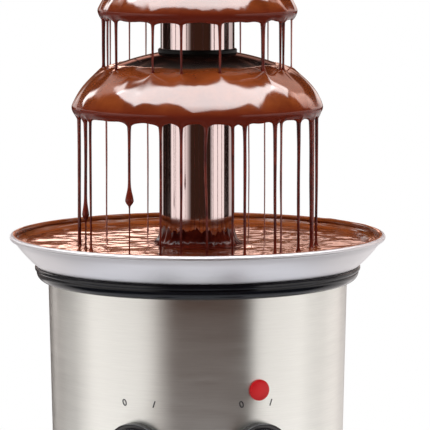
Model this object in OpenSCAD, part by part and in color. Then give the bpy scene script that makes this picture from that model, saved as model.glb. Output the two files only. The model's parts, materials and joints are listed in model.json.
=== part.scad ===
// Chocolate fountain with a heated bowl and an auger tower.
// Millimetres, +Z up, origin on the table under the tower's axis, knobs towards -Y.

/* [Housing] */
// Diameter of the steel sleeve at its top edge
sleeve_top_d = 191; // [186:0.5:198]
// Diameter of the steel sleeve at its bottom edge
sleeve_bottom_d = 185; // [176:0.5:190]
// Height of the steel sleeve
sleeve_h = 136; // [124:1:170]
// Sheet thickness of the sleeve
sleeve_wall = 0.8; // [0.5:0.1:1.5]
// Height of the base pan's band below the sleeve
pan_band_h = 11; // [9:0.5:18]
// How far the pan's band stands out past the sleeve
pan_overhang = 1; // [0.4:0.1:3]
// Wall thickness of the moulded base pan
pan_wall = 2.5; // [2:0.1:4]
// Height of the spigots that hold the sleeve round
spigot_h = 20; // [16:1:26]
// Wall thickness of the spigots
spigot_wall = 3; // [2.2:0.1:4]
// Number of vent slots under the base
vent_count = 16; // [8:1:20]
// Length of a vent slot
vent_l = 22; // [12:1:26]
// Width of a vent slot
vent_w = 4; // [2:0.5:5]
// Distance of the vent slots' middles from the axis
vent_reach = 38; // [34:1:44]

/* [Feet and tie screws] */
// Diameter of a rubber foot
foot_d = 20; // [16:1:26]
// Height of a rubber foot below the pan
foot_h = 5; // [4:0.5:9]
// Distance of the feet from the axis
foot_reach = 68; // [62:1:70]
// Diameter of a foot's push-in stem
stem_d = 8; // [6:0.5:10]
// Diameter of a tie screw
tie_d = 4; // [3:0.5:5]
// Diameter of a tie screw's head
tie_head_d = 7.6; // [6.5:0.1:8]
// Height of a tie screw's head
tie_head_h = 3; // [2:0.5:4]
// Diameter of the bosses round the tie screws
tie_boss_d = 11; // [10:0.5:13]

/* [Top ring] */
// Diameter of the ring's lip
ring_d = 208; // [204:0.5:216]
// Height of the ring above the sleeve
ring_h = 10; // [9:0.5:14]
// Depth of the groove below the lip
ring_groove = 1.6; // [0.8:0.1:2.5]
// Height of the lip
ring_lip_h = 3; // [2:0.5:4]

/* [Bowl] */
// Diameter of the bowl over its rolled rim
rim_d = 240; // [230:1:256]
// Diameter of the rolled bead at the rim
rim_bead_d = 3.6; // [2.6:0.1:5]
// Depth of the bowl from its rim to its underside
bowl_depth = 42; // [38:1:52]
// Diameter of the bowl's flat floor
bowl_floor_d = 86; // [84:1:92]
// Sheet thickness of the bowl
bowl_wall = 1; // [0.7:0.1:1.5]
// Height of the drawn collar round the shaft
bowl_collar_h = 14; // [10:1:18]

/* [Tower] */
// Outer diameter of the tube
tube_d = 47; // [42:0.5:52]
// Wall thickness of the tube
tube_wall = 0.8; // [0.5:0.1:1.2]
// Diameter of the lower tier
lower_tier_d = 157; // [140:1:170]
// Height of the lower tier's dome
lower_tier_rise = 36; // [30:1:40]
// Radius of the lower tier's shoulder
lower_tier_shoulder = 46; // [40:1:52]
// Height of the lower tier's edge above the rim
lower_tier_lift = 81; // [66:1:90]
// Diameter of the upper tier
upper_tier_d = 124; // [112:1:134]
// Height of the upper tier's dome
upper_tier_rise = 30; // [26:1:34]
// Radius of the upper tier's shoulder
upper_tier_shoulder = 37; // [33:1:42]
// Height of the upper tier's edge above the lower tier's edge
upper_tier_lift = 61; // [52:1:68]
// Sheet thickness of the tiers
tier_wall = 1; // [0.7:0.1:1.5]
// Diameter of the tiers' rolled edges
tier_bead_d = 4.8; // [3:0.2:6]
// Angle of a tier's dome at its edge, measured from upright
tier_edge_angle = 20; // [18:1:28]
// Height of the neck inside a tier
tier_neck_h = 6; // [4:1:10]
// Wall of the collar above a tier
collar_wall = 1.6; // [1:0.1:3]
// Height of the collar above a tier
collar_h = 2.5; // [2:0.5:6]
// Wall of the stop ring below a tier
stop_wall = 3; // [2:0.5:5]
// Height of the stop ring below a tier
stop_h = 4; // [3:0.5:6]
// Length of bare tube between the upper tier's collar and the crown
crown_stand = 4; // [2:1:14]

/* [Crown] */
// Radius of the crown's flare
crown_flare = 14; // [10:0.5:18]
// Angle at which the flare stops, from level
crown_stop = 50; // [40:1:70]
// Wall thickness of the crown
crown_wall = 1.4; // [1:0.1:2]
// Height of the crown's sleeve over the tube
crown_sleeve_h = 12; // [8:1:16]

/* [Tower foot] */
// Height of the foot
foot_ring_h = 26; // [24:1:34]
// Wall thickness of the foot
foot_ring_wall = 3; // [2.5:0.5:4]
// Width of an arch in the foot
arch_w = 20; // [14:1:22]
// Height of an arch in the foot
arch_h = 14; // [12:1:16]
// Gap between the gear case and the nuts on the posts' studs
post_gap = 1.375; // [1:0.125:2]
// Diameter of a post
post_d = 7; // [6:0.5:8]
// Height of a post
post_h = 10; // [8:1:14]
// Wall round a post in the foot's ear
ear_wall = 3.6; // [2.5:0.1:4]
// Height of the foot's ears
ear_h = 6; // [4:0.5:7]

/* [Auger] */
// Diameter of the auger's core
core_d = 21; // [19:0.5:23]
// Distance from one turn of the flight to the next
flight_pitch = 26; // [20:1:34]
// Thickness of the flight at the core
flight_root_t = 3; // [2:0.1:4]
// Thickness of the flight at its edge
flight_edge_t = 1.6; // [1:0.1:2.5]
// Gap between the flight and the tube
flight_gap = 0.8; // [0.5:0.1:1.5]
// How far the flight ends below the tube's top
flight_stop = 9; // [5:1:14]
// How far the auger's tip stands above the tube
tip_rise = 10; // [8:1:18]

/* [Drive] */
// Diameter of the drive shaft
shaft_d = 8; // [6:0.5:8.5]
// Wall thickness of the shaft's bush
bush_wall = 2.2; // [1.5:0.1:2.4]
// Diameter of the cross pin
pin_d = 3; // [2:0.5:3]
// Length of the cross pin
pin_l = 16; // [14:0.5:17]
// Length of the shaft above the cross pin
shaft_grip = 14; // [10:1:20]
// Thickness of the seal's cap
seal_cap_t = 2; // [1.5:0.1:3]
// Thickness of the heater plate
heater_t = 3; // [2:0.5:5]
// Diameter of the heater plate
heater_d = 84; // [82:0.5:86]
// Diameter of the heating element's tube
element_d = 6.5; // [5:0.5:7]
// Diameter of the heating element's ring
element_ring_d = 46; // [44:1:47]
// Diameter of the thermostat
thermostat_d = 13; // [11:0.5:14]
// Height of the thermostat
thermostat_h = 9; // [6:1:14]
// Diameter of the posts' studs
stud_d = 5; // [4:0.5:5.5]
// Gap between the heater plate and the motor plate
motor_drop = 28; // [24:1:34]
// Thickness of the motor plate
motor_plate_t = 2; // [1.5:0.5:3]
// Diameter of the gear case
gear_case_d = 56; // [50:1:57]
// Height of the gear case
gear_case_h = 22; // [16:1:26]
// Diameter of the motor can
motor_can_d = 48; // [40:1:52]
// Height of the motor can
motor_can_h = 36; // [28:1:40]

/* [Controls] */
// Angle of the knobs from the front
knob_angle = 23.5; // [20:0.5:26]
// Height of the knobs above the sleeve's bottom edge
knob_lift = 40; // [36:1:46]
// Diameter of a knob
knob_d = 38; // [34:0.5:46]
// Depth of a knob
knob_depth = 20; // [16:0.5:24]
// Depth of a knob's skirt
knob_skirt = 6; // [5:0.5:8]
// Width of a knob's grip bar
knob_bar_w = 9; // [8.5:0.5:12]
// Radius of the scoops beside the grip bar
knob_scoop = 12; // [9:0.5:15]
// Angle at which a knob stands when it is on
knob_on_angle = 20; // [10:1:30]
// Diameter of a switch's shaft
spindle_d = 6; // [4:0.5:6]
// Diameter of a switch's threaded bush
switch_bush_d = 9; // [8:0.5:10]
// Width and height of a switch's case
switch_w = 24; // [20:0.5:26]
// Depth of a switch's case
switch_t = 14; // [10:0.5:18]
// Height of the lamp above the sleeve's bottom edge
lamp_lift = 79; // [76:1:90]
// Diameter of the lamp's lens
lamp_d = 13; // [10:0.5:16]
// Diameter of the lamp's barrel
lamp_barrel_d = 9.6; // [7:0.2:9.8]
// Height of the cord's inlet above the sleeve's bottom edge
gland_lift = 24; // [23:1:40]
// Diameter of the cord's inlet
gland_bore_d = 7.2; // [6:0.1:8.4]
// Diameter of the inlet's barrel
gland_d = 14; // [12:0.5:15]

/* [Hidden] */

$fn = 96;
// Steps of a drawn arc
arc_steps = 10;
// Clearance of a running fit, on the radius
run_gap = 0.05;
// Clearance of pieces that slip over each other, on the radius
slip_gap = 0.1;
// Clearance of pieces that drop into place or screws that pass through, on the radius
drop_gap = 0.3;
// Clearance under pieces that stand or lie on a seat
seat_gap = 0.2;
// Depth by which cuts run past the faces that they open
cut = 1;

// Levels of the housing
pan_z = foot_h;
pan_floor_z = pan_z + pan_wall;
sleeve_z = pan_z + pan_band_h;
sleeve_top_z = sleeve_z + sleeve_h;
sleeve_slope = (sleeve_top_d - sleeve_bottom_d) / 2 / sleeve_h;
function sleeve_r(z) = sleeve_bottom_d / 2 + sleeve_slope * (z - sleeve_z);
function sleeve_inner_r(z) = sleeve_r(z) - sleeve_wall;
// How far the sleeve leans for each unit of height, inwards or outwards
sleeve_lean = abs(sleeve_slope);
// How far the sleeve's inner face falls away from a flat face of a given half width
function sleeve_sag(z, half) = sleeve_inner_r(z) - sqrt(pow(sleeve_inner_r(z), 2) - half * half);

// The bowl's wall is an arc, level where it leaves the floor, that ends at the middle of the rim's bead
rim_bead_r = rim_bead_d / 2;
floor_r = bowl_floor_d / 2;
wall_run = rim_d / 2 - rim_bead_r - floor_r;
wall_rise = bowl_depth - rim_bead_r - bowl_wall / 2;
wall_r = (wall_run * wall_run + wall_rise * wall_rise) / (2 * wall_rise);
wall_end = atan2(wall_rise - wall_r, wall_run);
wall_outer_r = wall_r + bowl_wall / 2;
function bowl_height(r) = wall_outer_r - sqrt(wall_outer_r * wall_outer_r - pow(r - floor_r, 2));

// The bowl seats on the ring just inside the lip's edge
lip_round = 1;
seat_r = ring_d / 2 - lip_round;
bowl_z = sleeve_top_z + ring_h + seat_gap - bowl_height(seat_r);
bowl_floor_z = bowl_z + bowl_wall;
rim_z = bowl_z + bowl_depth;
wall_centre = [floor_r, bowl_z + wall_outer_r];

// Spigots inside the sleeve
pan_spigot_h = spigot_h / 2;
pan_spigot_r = min(sleeve_inner_r(sleeve_z), sleeve_inner_r(sleeve_z + pan_spigot_h)) - drop_gap;
ring_spigot_r = min(sleeve_inner_r(sleeve_top_z), sleeve_inner_r(sleeve_top_z - spigot_h)) - drop_gap;
ring_inner_r = ring_spigot_r - spigot_wall;

// Tie screws run from recesses under the pan up to bosses on the ring's spigot
tie_angles = [45, 135, 225, 315];
tie_boss_sink = 0.8;
tie_reach = min(pan_spigot_r, ring_spigot_r) - spigot_wall - tie_boss_d / 2 + tie_boss_sink;
tie_head_z = pan_z + 1;
tie_seat_z = tie_head_z + tie_head_h;
pan_boss_top_z = tie_seat_z + 9;
boss_clear = 2;
ring_boss_top_z = min(sleeve_top_z, bowl_z + bowl_height(tie_reach - tie_boss_d / 2)) - boss_clear;
ring_boss_z = sleeve_top_z - spigot_h - 2;
tie_end_z = ring_boss_top_z - 3;

// Stack under the bowl
heater_z = bowl_z - heater_t;
motor_plate_top_z = heater_z - motor_drop;
motor_plate_z = motor_plate_top_z - motor_plate_t;
gear_case_z = motor_plate_z - gear_case_h;
motor_can_z = gear_case_z - motor_can_h;
post_angles = [90, 210, 330];
stud_nut_h = 4;
stud_nut_d = stud_d * 1.85;
post_reach = gear_case_d / 2 + stud_nut_d / 2 + post_gap;
stud_z = motor_plate_z - stud_nut_h - 2;
spacer_d = stud_d + 5;
motor_screw_d = 3;
motor_screw_head_d = 6;
motor_screw_head_h = 2;
motor_screw_l = 12;
motor_screw_angles = [0, 60, 120, 180, 240, 300];
motor_screw_reach = gear_case_d / 2 - 8;

// Shaft, its bearing and the auger's seat
shaft_r = shaft_d / 2;
bush_r = shaft_r + run_gap + bush_wall;
bowl_collar_r = bush_r + run_gap;
bowl_collar_top_z = bowl_floor_z + bowl_collar_h;
bush_top_z = bowl_collar_top_z - 4;
bush_flange_t = 2;
bush_flange_r = bush_r + 1.8;
bush_z = bowl_z - bush_flange_t;
seal_cap_r = bowl_collar_r + bowl_wall + 0.6;
seal_top_z = bowl_collar_top_z + seal_cap_t;
case_boss_r = shaft_r + 4;
case_boss_h = motor_plate_t + 2;
core_r = core_d / 2;
hub_wall = core_r - seal_cap_r - 0.6;
auger_z = bowl_floor_z + 2;
hub_roof_z = seal_top_z + 1;
pin_z = hub_roof_z + pin_d / 2 + 1;
shaft_top_z = pin_z + shaft_grip;

// Tower
tube_r = tube_d / 2;
tube_inner_r = tube_r - tube_wall;
flight_r = tube_inner_r - flight_gap;
tower_z = bowl_floor_z + seat_gap;
tube_z = tower_z + arch_h + 2;
lower_edge_z = rim_z + lower_tier_lift;
upper_edge_z = lower_edge_z + upper_tier_lift;
arch_angles = [30, 150, 270];

// A tier is a shallow dome that runs into a rounder shoulder and ends in a rolled edge.
// Its heights are from the middle of the rolled edge.
neck_r = tube_r + slip_gap;
tier_bead_r = tier_bead_d / 2;
function shoulder_centre(d, shoulder) =
    [d / 2 - tier_bead_r - shoulder * cos(tier_edge_angle), -shoulder * sin(tier_edge_angle)];
function dome_centre_z(d, rise, shoulder) =
    let (s = shoulder_centre(d, shoulder), drop = rise - shoulder)
    (drop * drop - s.x * s.x - s.y * s.y) / (2 * (drop - s.y));
function dome_r(d, rise, shoulder) = rise - dome_centre_z(d, rise, shoulder);
function dome_height(d, rise, shoulder, r) =
    dome_centre_z(d, rise, shoulder) + sqrt(pow(dome_r(d, rise, shoulder) + tier_wall / 2, 2) - r * r);
// Underside of a tier's neck, which stands on the stop ring
function neck_height(d, rise, shoulder) =
    dome_height(d, rise, shoulder, neck_r) - tier_wall - tier_neck_h;
lower_neck_z = lower_edge_z + neck_height(lower_tier_d, lower_tier_rise, lower_tier_shoulder);
upper_neck_z = upper_edge_z + neck_height(upper_tier_d, upper_tier_rise, upper_tier_shoulder);
neck_to_collar = tier_wall + tier_neck_h + run_gap;
tube_top_z = upper_neck_z + neck_to_collar + collar_h + crown_stand + crown_sleeve_h;

// Controls
motor_angle = -knob_angle;
heat_angle = knob_angle;
knob_z = sleeve_z + knob_lift;
lamp_z = sleeve_z + lamp_lift;
gland_z = sleeve_z + gland_lift;
gland_angle = 180;
switch_bush_r = switch_bush_d / 2;
switch_nut_t = 2.5;
switch_nut_d = switch_bush_d * 1.5;
switch_bush_h = switch_nut_t + 1.4;
switch_nut_seat = sleeve_lean * switch_nut_d / 2 + 0.05;
switch_seat = -sleeve_wall - sleeve_sag(knob_z, switch_w / 2) - sleeve_lean * switch_w / 2 - seat_gap;
spindle_r = spindle_d / 2;
spindle_end = knob_depth - 5;
spindle_start = switch_seat - switch_t + 3;
knob_back = sleeve_lean * knob_d / 2 + 0.9;
knob_hollow_r = switch_nut_d / 2 + 2;
knob_hollow_top = switch_bush_h + switch_nut_seat + 1;
knob_skirt_top = knob_back + knob_skirt;
lamp_r = lamp_d / 2;
lamp_barrel_r = lamp_barrel_d / 2;
lamp_holder_r = lamp_barrel_r + 2;
lamp_holder_l = 20;
lamp_lens_seat = sleeve_lean * lamp_r + 0.05;
lamp_holder_seat = -sleeve_wall - sleeve_sag(lamp_z, lamp_holder_r) - sleeve_lean * lamp_holder_r - 0.1;
gland_r = gland_d / 2;
gland_flange_r = gland_r + 2.5;
gland_flange_t = 3;
gland_nut_r = gland_r + 3.5;
gland_nut_t = 5;
gland_flange_seat = sleeve_lean * gland_flange_r + 0.05;
gland_nut_seat = -sleeve_wall - sleeve_sag(gland_z, gland_nut_r) - sleeve_lean * gland_nut_r - 0.1;

// Colours
steel_colour = [0.80, 0.79, 0.77];
polished_colour = [0.86, 0.86, 0.88];
black_colour = [0.06, 0.06, 0.07];
rubber_colour = [0.12, 0.12, 0.12];
zinc_colour = [0.70, 0.71, 0.72];
bronze_colour = [0.66, 0.48, 0.26];
red_colour = [0.83, 0.10, 0.11];
white_colour = [0.92, 0.92, 0.88];

// Points of an arc about centre c, from angle a to angle b
function arc(c, r, a, b) =
    [for (i = [0:arc_steps]) let (t = a + (b - a) * i / arc_steps) c + r * [cos(t), sin(t)]];

// A ring of square section
module ring(inner_r, outer_r, h) {
    rotate_extrude()
        translate([inner_r, 0])
            square([outer_r - inner_r, h]);
}

// Places its children round the axis
module around(angles, reach) {
    for (a = angles)
        rotate([0, 0, a])
            translate([reach, 0, 0])
                children();
}

// Places its children on the sleeve's outer face, with their own Z pointing outwards
module on_sleeve(angle, z) {
    rotate([0, 0, angle])
        translate([0, -sleeve_r(z), z])
            rotate([90, 0, 0])
                children();
}

// A hexagonal nut, with d across its corners
module hex_nut(d, bore_d, h) {
    difference() {
        cylinder(d = d, h = h, $fn = 6);
        translate([0, 0, -cut])
            cylinder(d = bore_d, h = h + 2 * cut);
    }
}

// A hole through the sleeve alone
module sleeve_hole(angle, z, r) {
    depth = 12;
    on_sleeve(angle, z)
        translate([0, 0, -depth])
            cylinder(r = r, h = 2 * depth);
}

module body_shell() color(steel_colour) {
    difference() {
        rotate_extrude()
            polygon([
                [sleeve_inner_r(sleeve_z), sleeve_z],
                [sleeve_r(sleeve_z), sleeve_z],
                [sleeve_r(sleeve_top_z), sleeve_top_z],
                [sleeve_inner_r(sleeve_top_z), sleeve_top_z]
            ]);
        for (a = [motor_angle, heat_angle])
            sleeve_hole(a, knob_z, switch_bush_r + slip_gap);
        sleeve_hole(heat_angle, lamp_z, lamp_barrel_r + slip_gap);
        sleeve_hole(gland_angle, gland_z, gland_r + slip_gap);
    }
}

// Bosses round the tie screws, each with a rib that joins it to the wall behind it
module tie_bosses(h, wall_inner_r) {
    rib_w = tie_boss_d * 0.6;
    around(tie_angles, tie_reach) {
        cylinder(d = tie_boss_d, h = h);
        translate([0, -rib_w / 2, 0])
            cube([wall_inner_r + spigot_wall / 2 - tie_reach, rib_w, h]);
    }
}

module top_ring() color(black_colour) {
    lip_r = ring_d / 2;
    lip_top_z = sleeve_top_z + ring_h;
    lip_z = lip_top_z - ring_lip_h;
    skirt_top_z = lip_z - 1;
    ledge_r = sleeve_r(sleeve_top_z) + 0.5;
    skirt_r = skirt_top_z - sleeve_top_z;
    seat_arc_r = wall_outer_r + seat_gap;
    difference() {
        union() {
            rotate_extrude()
                polygon(concat(
                    [
                        [ring_inner_r, sleeve_top_z - spigot_h],
                        [ring_spigot_r, sleeve_top_z - spigot_h],
                        [ring_spigot_r, sleeve_top_z],
                        [ledge_r, sleeve_top_z]
                    ],
                    [for (i = [1:arc_steps])
                        [ledge_r + (lip_r - 1 - ledge_r) * sin(90 * i / arc_steps),
                         skirt_top_z - skirt_r * cos(90 * i / arc_steps)]],
                    [
                        [lip_r - ring_groove, skirt_top_z],
                        [lip_r - ring_groove, lip_z]
                    ],
                    arc([lip_r - lip_round, lip_z + lip_round], lip_round, -90, 0),
                    arc([lip_r - lip_round, lip_top_z - lip_round], lip_round, 0, 90),
                    arc(wall_centre, seat_arc_r,
                        -acos((seat_r - floor_r) / seat_arc_r),
                        -acos((ring_inner_r - floor_r) / seat_arc_r))
                ));
            translate([0, 0, ring_boss_z])
                tie_bosses(ring_boss_top_z - ring_boss_z, ring_inner_r);
        }
        around(tie_angles, tie_reach)
            translate([0, 0, ring_boss_z - cut])
                cylinder(d = tie_d, h = tie_end_z + 1 - ring_boss_z + cut);
    }
}

module base_pan() color(black_colour) {
    band_r = sleeve_bottom_d / 2 + pan_overhang;
    edge_round = 3;
    inner_r = pan_spigot_r - spigot_wall;
    top_z = sleeve_z + pan_spigot_h;
    difference() {
        union() {
            rotate_extrude()
                polygon(concat(
                    [[0, pan_z]],
                    arc([band_r - edge_round, pan_z + edge_round], edge_round, -90, 0),
                    [
                        [band_r, sleeve_z],
                        [pan_spigot_r, sleeve_z],
                        [pan_spigot_r, top_z],
                        [inner_r, top_z],
                        [inner_r, pan_floor_z],
                        [0, pan_floor_z]
                    ]));
            translate([0, 0, pan_floor_z - pan_wall / 2])
                tie_bosses(pan_boss_top_z - pan_floor_z + pan_wall / 2, inner_r);
        }
        around(tie_angles, tie_reach)
            translate([0, 0, pan_z - cut]) {
                cylinder(d = tie_d + 2 * drop_gap, h = pan_boss_top_z - pan_z + 2 * cut);
                cylinder(d = tie_head_d + 2 * drop_gap, h = tie_seat_z - pan_z + cut);
            }
        around(tie_angles, foot_reach)
            translate([0, 0, pan_z - cut])
                cylinder(d = stem_d + 2 * slip_gap, h = pan_wall + 2 * cut);
        for (i = [0:vent_count - 1])
            rotate([0, 0, 360 * (i + 0.5) / vent_count])
                translate([vent_reach, 0, pan_z - cut])
                    linear_extrude(pan_wall + 2 * cut)
                        vent_slot();
    }
}

// A slot with round ends that lies along X
module vent_slot() {
    straight = vent_l - vent_w;
    square([straight, vent_w], center = true);
    for (side = [-1, 1])
        translate([side * straight / 2, 0])
            circle(d = vent_w, $fn = 32);
}

module rubber_feet() color(rubber_colour) {
    barb_h = 3;
    barb_r = stem_d / 2 + 1;
    edge = 1;
    around(tie_angles, foot_reach)
        rotate_extrude($fn = 48)
            polygon([
                [0, 0],
                [foot_d / 2 - 2 * edge, 0],
                [foot_d / 2 - edge, edge],
                [foot_d / 2, foot_h],
                [stem_d / 2, foot_h],
                [stem_d / 2, pan_floor_z],
                [barb_r, pan_floor_z],
                [stem_d / 2 - edge, pan_floor_z + barb_h],
                [0, pan_floor_z + barb_h]
            ]);
}

module tie_screws() color(zinc_colour) {
    slot_w = 1.2;
    slot_t = 1.2;
    around(tie_angles, tie_reach)
        difference() {
            union() {
                translate([0, 0, tie_head_z])
                    cylinder(d = tie_head_d, h = tie_head_h);
                translate([0, 0, tie_seat_z - tie_head_h / 2])
                    cylinder(d = tie_d, h = tie_end_z - tie_seat_z + tie_head_h / 2);
            }
            for (turn = [0, 90])
                rotate([0, 0, turn])
                    translate([-tie_d / 2, -slot_w / 2, tie_head_z - cut])
                        cube([tie_d, slot_w, slot_t + cut]);
        }
}

module bowl() color(polished_colour) {
    bead_c = [rim_d / 2 - rim_bead_r, rim_z - rim_bead_r];
    meet = acos(bowl_wall / 2 / rim_bead_r);
    meet_turn = atan2(rim_bead_r * sin(meet), wall_r);
    difference() {
        rotate_extrude($fn = 128)
            polygon(concat(
                [[bowl_collar_r, bowl_z]],
                arc(wall_centre, wall_r + bowl_wall / 2, -90, wall_end - meet_turn),
                arc(bead_c, rim_bead_r, wall_end - meet, wall_end + 180 + meet),
                arc(wall_centre, wall_r - bowl_wall / 2, wall_end - meet_turn, -90),
                [
                    [bowl_collar_r + bowl_wall, bowl_floor_z],
                    [bowl_collar_r + bowl_wall, bowl_collar_top_z],
                    [bowl_collar_r, bowl_collar_top_z]
                ]));
        around(post_angles, post_reach)
            translate([0, 0, bowl_z - cut])
                cylinder(d = stud_d + 2 * slip_gap, h = bowl_wall + 2 * cut);
    }
}

module bowl_posts() color(polished_colour) {
    top = bowl_floor_z + post_h;
    edge = 1.2;
    around(post_angles, post_reach)
        rotate_extrude($fn = 48)
            polygon([
                [0, stud_z],
                [stud_d / 2, stud_z],
                [stud_d / 2, bowl_floor_z],
                [post_d / 2, bowl_floor_z],
                [post_d / 2, top - edge],
                [post_d / 2 - edge, top],
                [0, top]
            ]);
}

module heater_plate() color(zinc_colour) {
    difference() {
        translate([0, 0, heater_z])
            ring(bush_flange_r + drop_gap, heater_d / 2, heater_t);
        around(post_angles, post_reach)
            translate([0, 0, heater_z - cut])
                cylinder(d = stud_d + 2 * slip_gap, h = heater_t + 2 * cut);
    }
}

module heating_element() color([0.35, 0.33, 0.31]) {
    sweep = 300;
    leg_l = 16;
    leg_d = element_d - 1.5;
    pin_end_l = 8;
    pin_end_d = leg_d / 2;
    leg_turn = asin((leg_d / 2 + 1) / (element_ring_d / 2));
    z = heater_z - element_d / 2 - run_gap;
    rotate([0, 0, 90 + (360 - sweep) / 2]) {
        translate([0, 0, z])
            rotate_extrude(angle = sweep)
                translate([element_ring_d / 2, 0])
                    circle(d = element_d, $fn = 32);
        for (a = [leg_turn, sweep - leg_turn])
            rotate([0, 0, a])
                translate([element_ring_d / 2, 0, z - leg_l]) {
                    cylinder(d = leg_d, h = leg_l, $fn = 32);
                    translate([0, 0, -pin_end_l])
                        cylinder(d = pin_end_d, h = pin_end_l + 1, $fn = 32);
                }
    }
}

module thermostat() color(white_colour) {
    tab_w = 4;
    tab_t = 0.8;
    tab_h = 7;
    reach = heater_d / 2 - thermostat_d / 2;
    rotate([0, 0, 270])
        translate([reach, 0, heater_z - thermostat_h]) {
            cylinder(d = thermostat_d, h = thermostat_h);
            for (side = [-1, 1])
                translate([side * thermostat_d / 4 - tab_t / 2, -tab_w / 2, -tab_h])
                    cube([tab_t, tab_w, tab_h + thermostat_h / 2]);
        }
}

module spacers() color(zinc_colour) {
    around(post_angles, post_reach)
        translate([0, 0, motor_plate_top_z])
            ring(stud_d / 2 + slip_gap, spacer_d / 2, motor_drop);
}

// Outline of the motor plate: a disc with a rounded lobe at each stud
module motor_plate_outline() {
    lobe_r = spacer_d / 2 + 3;
    circle(d = gear_case_d + 4);
    for (a = post_angles)
        rotate(a)
            translate([post_reach, 0])
                circle(r = lobe_r);
}

module motor_plate() color(zinc_colour) {
    translate([0, 0, motor_plate_z])
        difference() {
            linear_extrude(motor_plate_t)
                motor_plate_outline();
            translate([0, 0, -cut])
                cylinder(r = case_boss_r + drop_gap, h = motor_plate_t + 2 * cut);
            around(post_angles, post_reach)
                translate([0, 0, -cut])
                    cylinder(d = stud_d + 2 * slip_gap, h = motor_plate_t + 2 * cut);
            around(motor_screw_angles, motor_screw_reach)
                translate([0, 0, -cut])
                    cylinder(d = motor_screw_d + 2 * slip_gap, h = motor_plate_t + 2 * cut);
        }
}

module stud_nuts() color(zinc_colour) {
    around(post_angles, post_reach)
        translate([0, 0, motor_plate_z - stud_nut_h])
            hex_nut(stud_nut_d, stud_d, stud_nut_h);
}

module gear_case() color([0.45, 0.46, 0.47]) {
    edge = 2;
    translate([0, 0, gear_case_z])
        difference() {
            rotate_extrude()
                polygon([
                    [0, 0],
                    [gear_case_d / 2 - edge, 0],
                    [gear_case_d / 2, edge],
                    [gear_case_d / 2, gear_case_h],
                    [case_boss_r, gear_case_h],
                    [case_boss_r, gear_case_h + case_boss_h],
                    [0, gear_case_h + case_boss_h]
                ]);
            translate([0, 0, gear_case_h / 2])
                cylinder(r = shaft_r + run_gap, h = gear_case_h / 2 + case_boss_h + cut);
            around(motor_screw_angles, motor_screw_reach)
                translate([0, 0, gear_case_h - motor_screw_l])
                    cylinder(d = motor_screw_d, h = motor_screw_l + cut);
        }
}

module motor_can() color([0.32, 0.33, 0.34]) {
    hub_r = 7;
    hub_h = 4;
    edge = 3;
    slot_count = 6;
    slot_w = 3;
    slot_h = motor_can_h / 2;
    slot_depth = 2;
    translate([0, 0, motor_can_z])
        difference() {
            rotate_extrude()
                polygon(concat(
                    [[0, -hub_h], [hub_r, -hub_h], [hub_r, 0]],
                    arc([motor_can_d / 2 - edge, edge], edge, -90, 0),
                    [[motor_can_d / 2, motor_can_h], [0, motor_can_h]]));
            for (i = [0:slot_count - 1])
                rotate([0, 0, 360 * i / slot_count])
                    translate([motor_can_d / 2 - slot_depth, -slot_w / 2, slot_h / 2])
                        cube([2 * slot_depth, slot_w, slot_h]);
        }
}

module motor_screws() color(zinc_colour) {
    around(motor_screw_angles, motor_screw_reach) {
        translate([0, 0, motor_plate_top_z])
            cylinder(d = motor_screw_head_d, h = motor_screw_head_h);
        translate([0, 0, motor_plate_z - motor_screw_l + 1])
            cylinder(d = motor_screw_d, h = motor_screw_l - 1 + motor_plate_t + motor_screw_head_h / 2);
    }
}

module shaft_bush() color(bronze_colour) {
    difference() {
        union() {
            translate([0, 0, bush_z])
                cylinder(r = bush_r, h = bush_top_z - bush_z);
            translate([0, 0, bush_z])
                cylinder(r = bush_flange_r, h = bush_flange_t);
        }
        translate([0, 0, bush_z - cut])
            cylinder(r = shaft_r + run_gap, h = bush_top_z - bush_z + 2 * cut);
    }
}

module shaft_seal() color([0.75, 0.72, 0.68]) {
    rotate_extrude()
        polygon([
            [shaft_r + slip_gap, bush_top_z],
            [bowl_collar_r, bush_top_z],
            [bowl_collar_r, bowl_collar_top_z],
            [seal_cap_r, bowl_collar_top_z],
            [seal_cap_r - 0.6, seal_top_z - 0.6],
            [shaft_r + slip_gap + 1, seal_top_z],
            [shaft_r + slip_gap, seal_top_z]
        ]);
}

module drive_shaft() color(zinc_colour) {
    start_z = gear_case_z + gear_case_h / 2 + 1;
    edge = 0.8;
    difference() {
        rotate_extrude($fn = 64)
            polygon([
                [0, start_z],
                [shaft_r, start_z],
                [shaft_r, shaft_top_z - edge],
                [shaft_r - edge, shaft_top_z],
                [0, shaft_top_z]
            ]);
        translate([-shaft_d, 0, pin_z])
            rotate([0, 90, 0])
                cylinder(d = pin_d, h = 2 * shaft_d, $fn = 48);
    }
}

module drive_pin() color(polished_colour) {
    translate([-pin_l / 2, 0, pin_z])
        rotate([0, 90, 0])
            cylinder(d = pin_d, h = pin_l, $fn = 48);
}

// Screw flight: a tapered section carried round and up along a helix
flight_steps = 24;
flight_sink = 1;
flight_z = auger_z + flight_root_t;
flight_top_z = tube_top_z - flight_stop;
flight_count = floor((flight_top_z - flight_z) / flight_pitch * flight_steps);
function flight_section(i) =
    let (turn = 360 * i / flight_steps, z = flight_z + flight_pitch * i / flight_steps)
    [for (p = [
        [core_r - flight_sink, -flight_root_t / 2],
        [flight_r, -flight_edge_t / 2],
        [flight_r, flight_edge_t / 2],
        [core_r - flight_sink, flight_root_t / 2]
    ]) [p.x * cos(turn), p.x * sin(turn), z + p.y]];

module auger_flight() {
    last = 4 * flight_count;
    points = [for (i = [0:flight_count]) each flight_section(i)];
    sides = [
        for (i = [0:flight_count - 1])
            for (k = [0:3])
                let (a = 4 * i + k, b = 4 * i + (k + 1) % 4)
                    each [[a, b, b + 4], [a, b + 4, a + 4]]
    ];
    ends = [[0, 3, 2], [0, 2, 1], [last, last + 1, last + 2], [last, last + 2, last + 3]];
    polyhedron(points = points, faces = concat(sides, ends));
}

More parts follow.
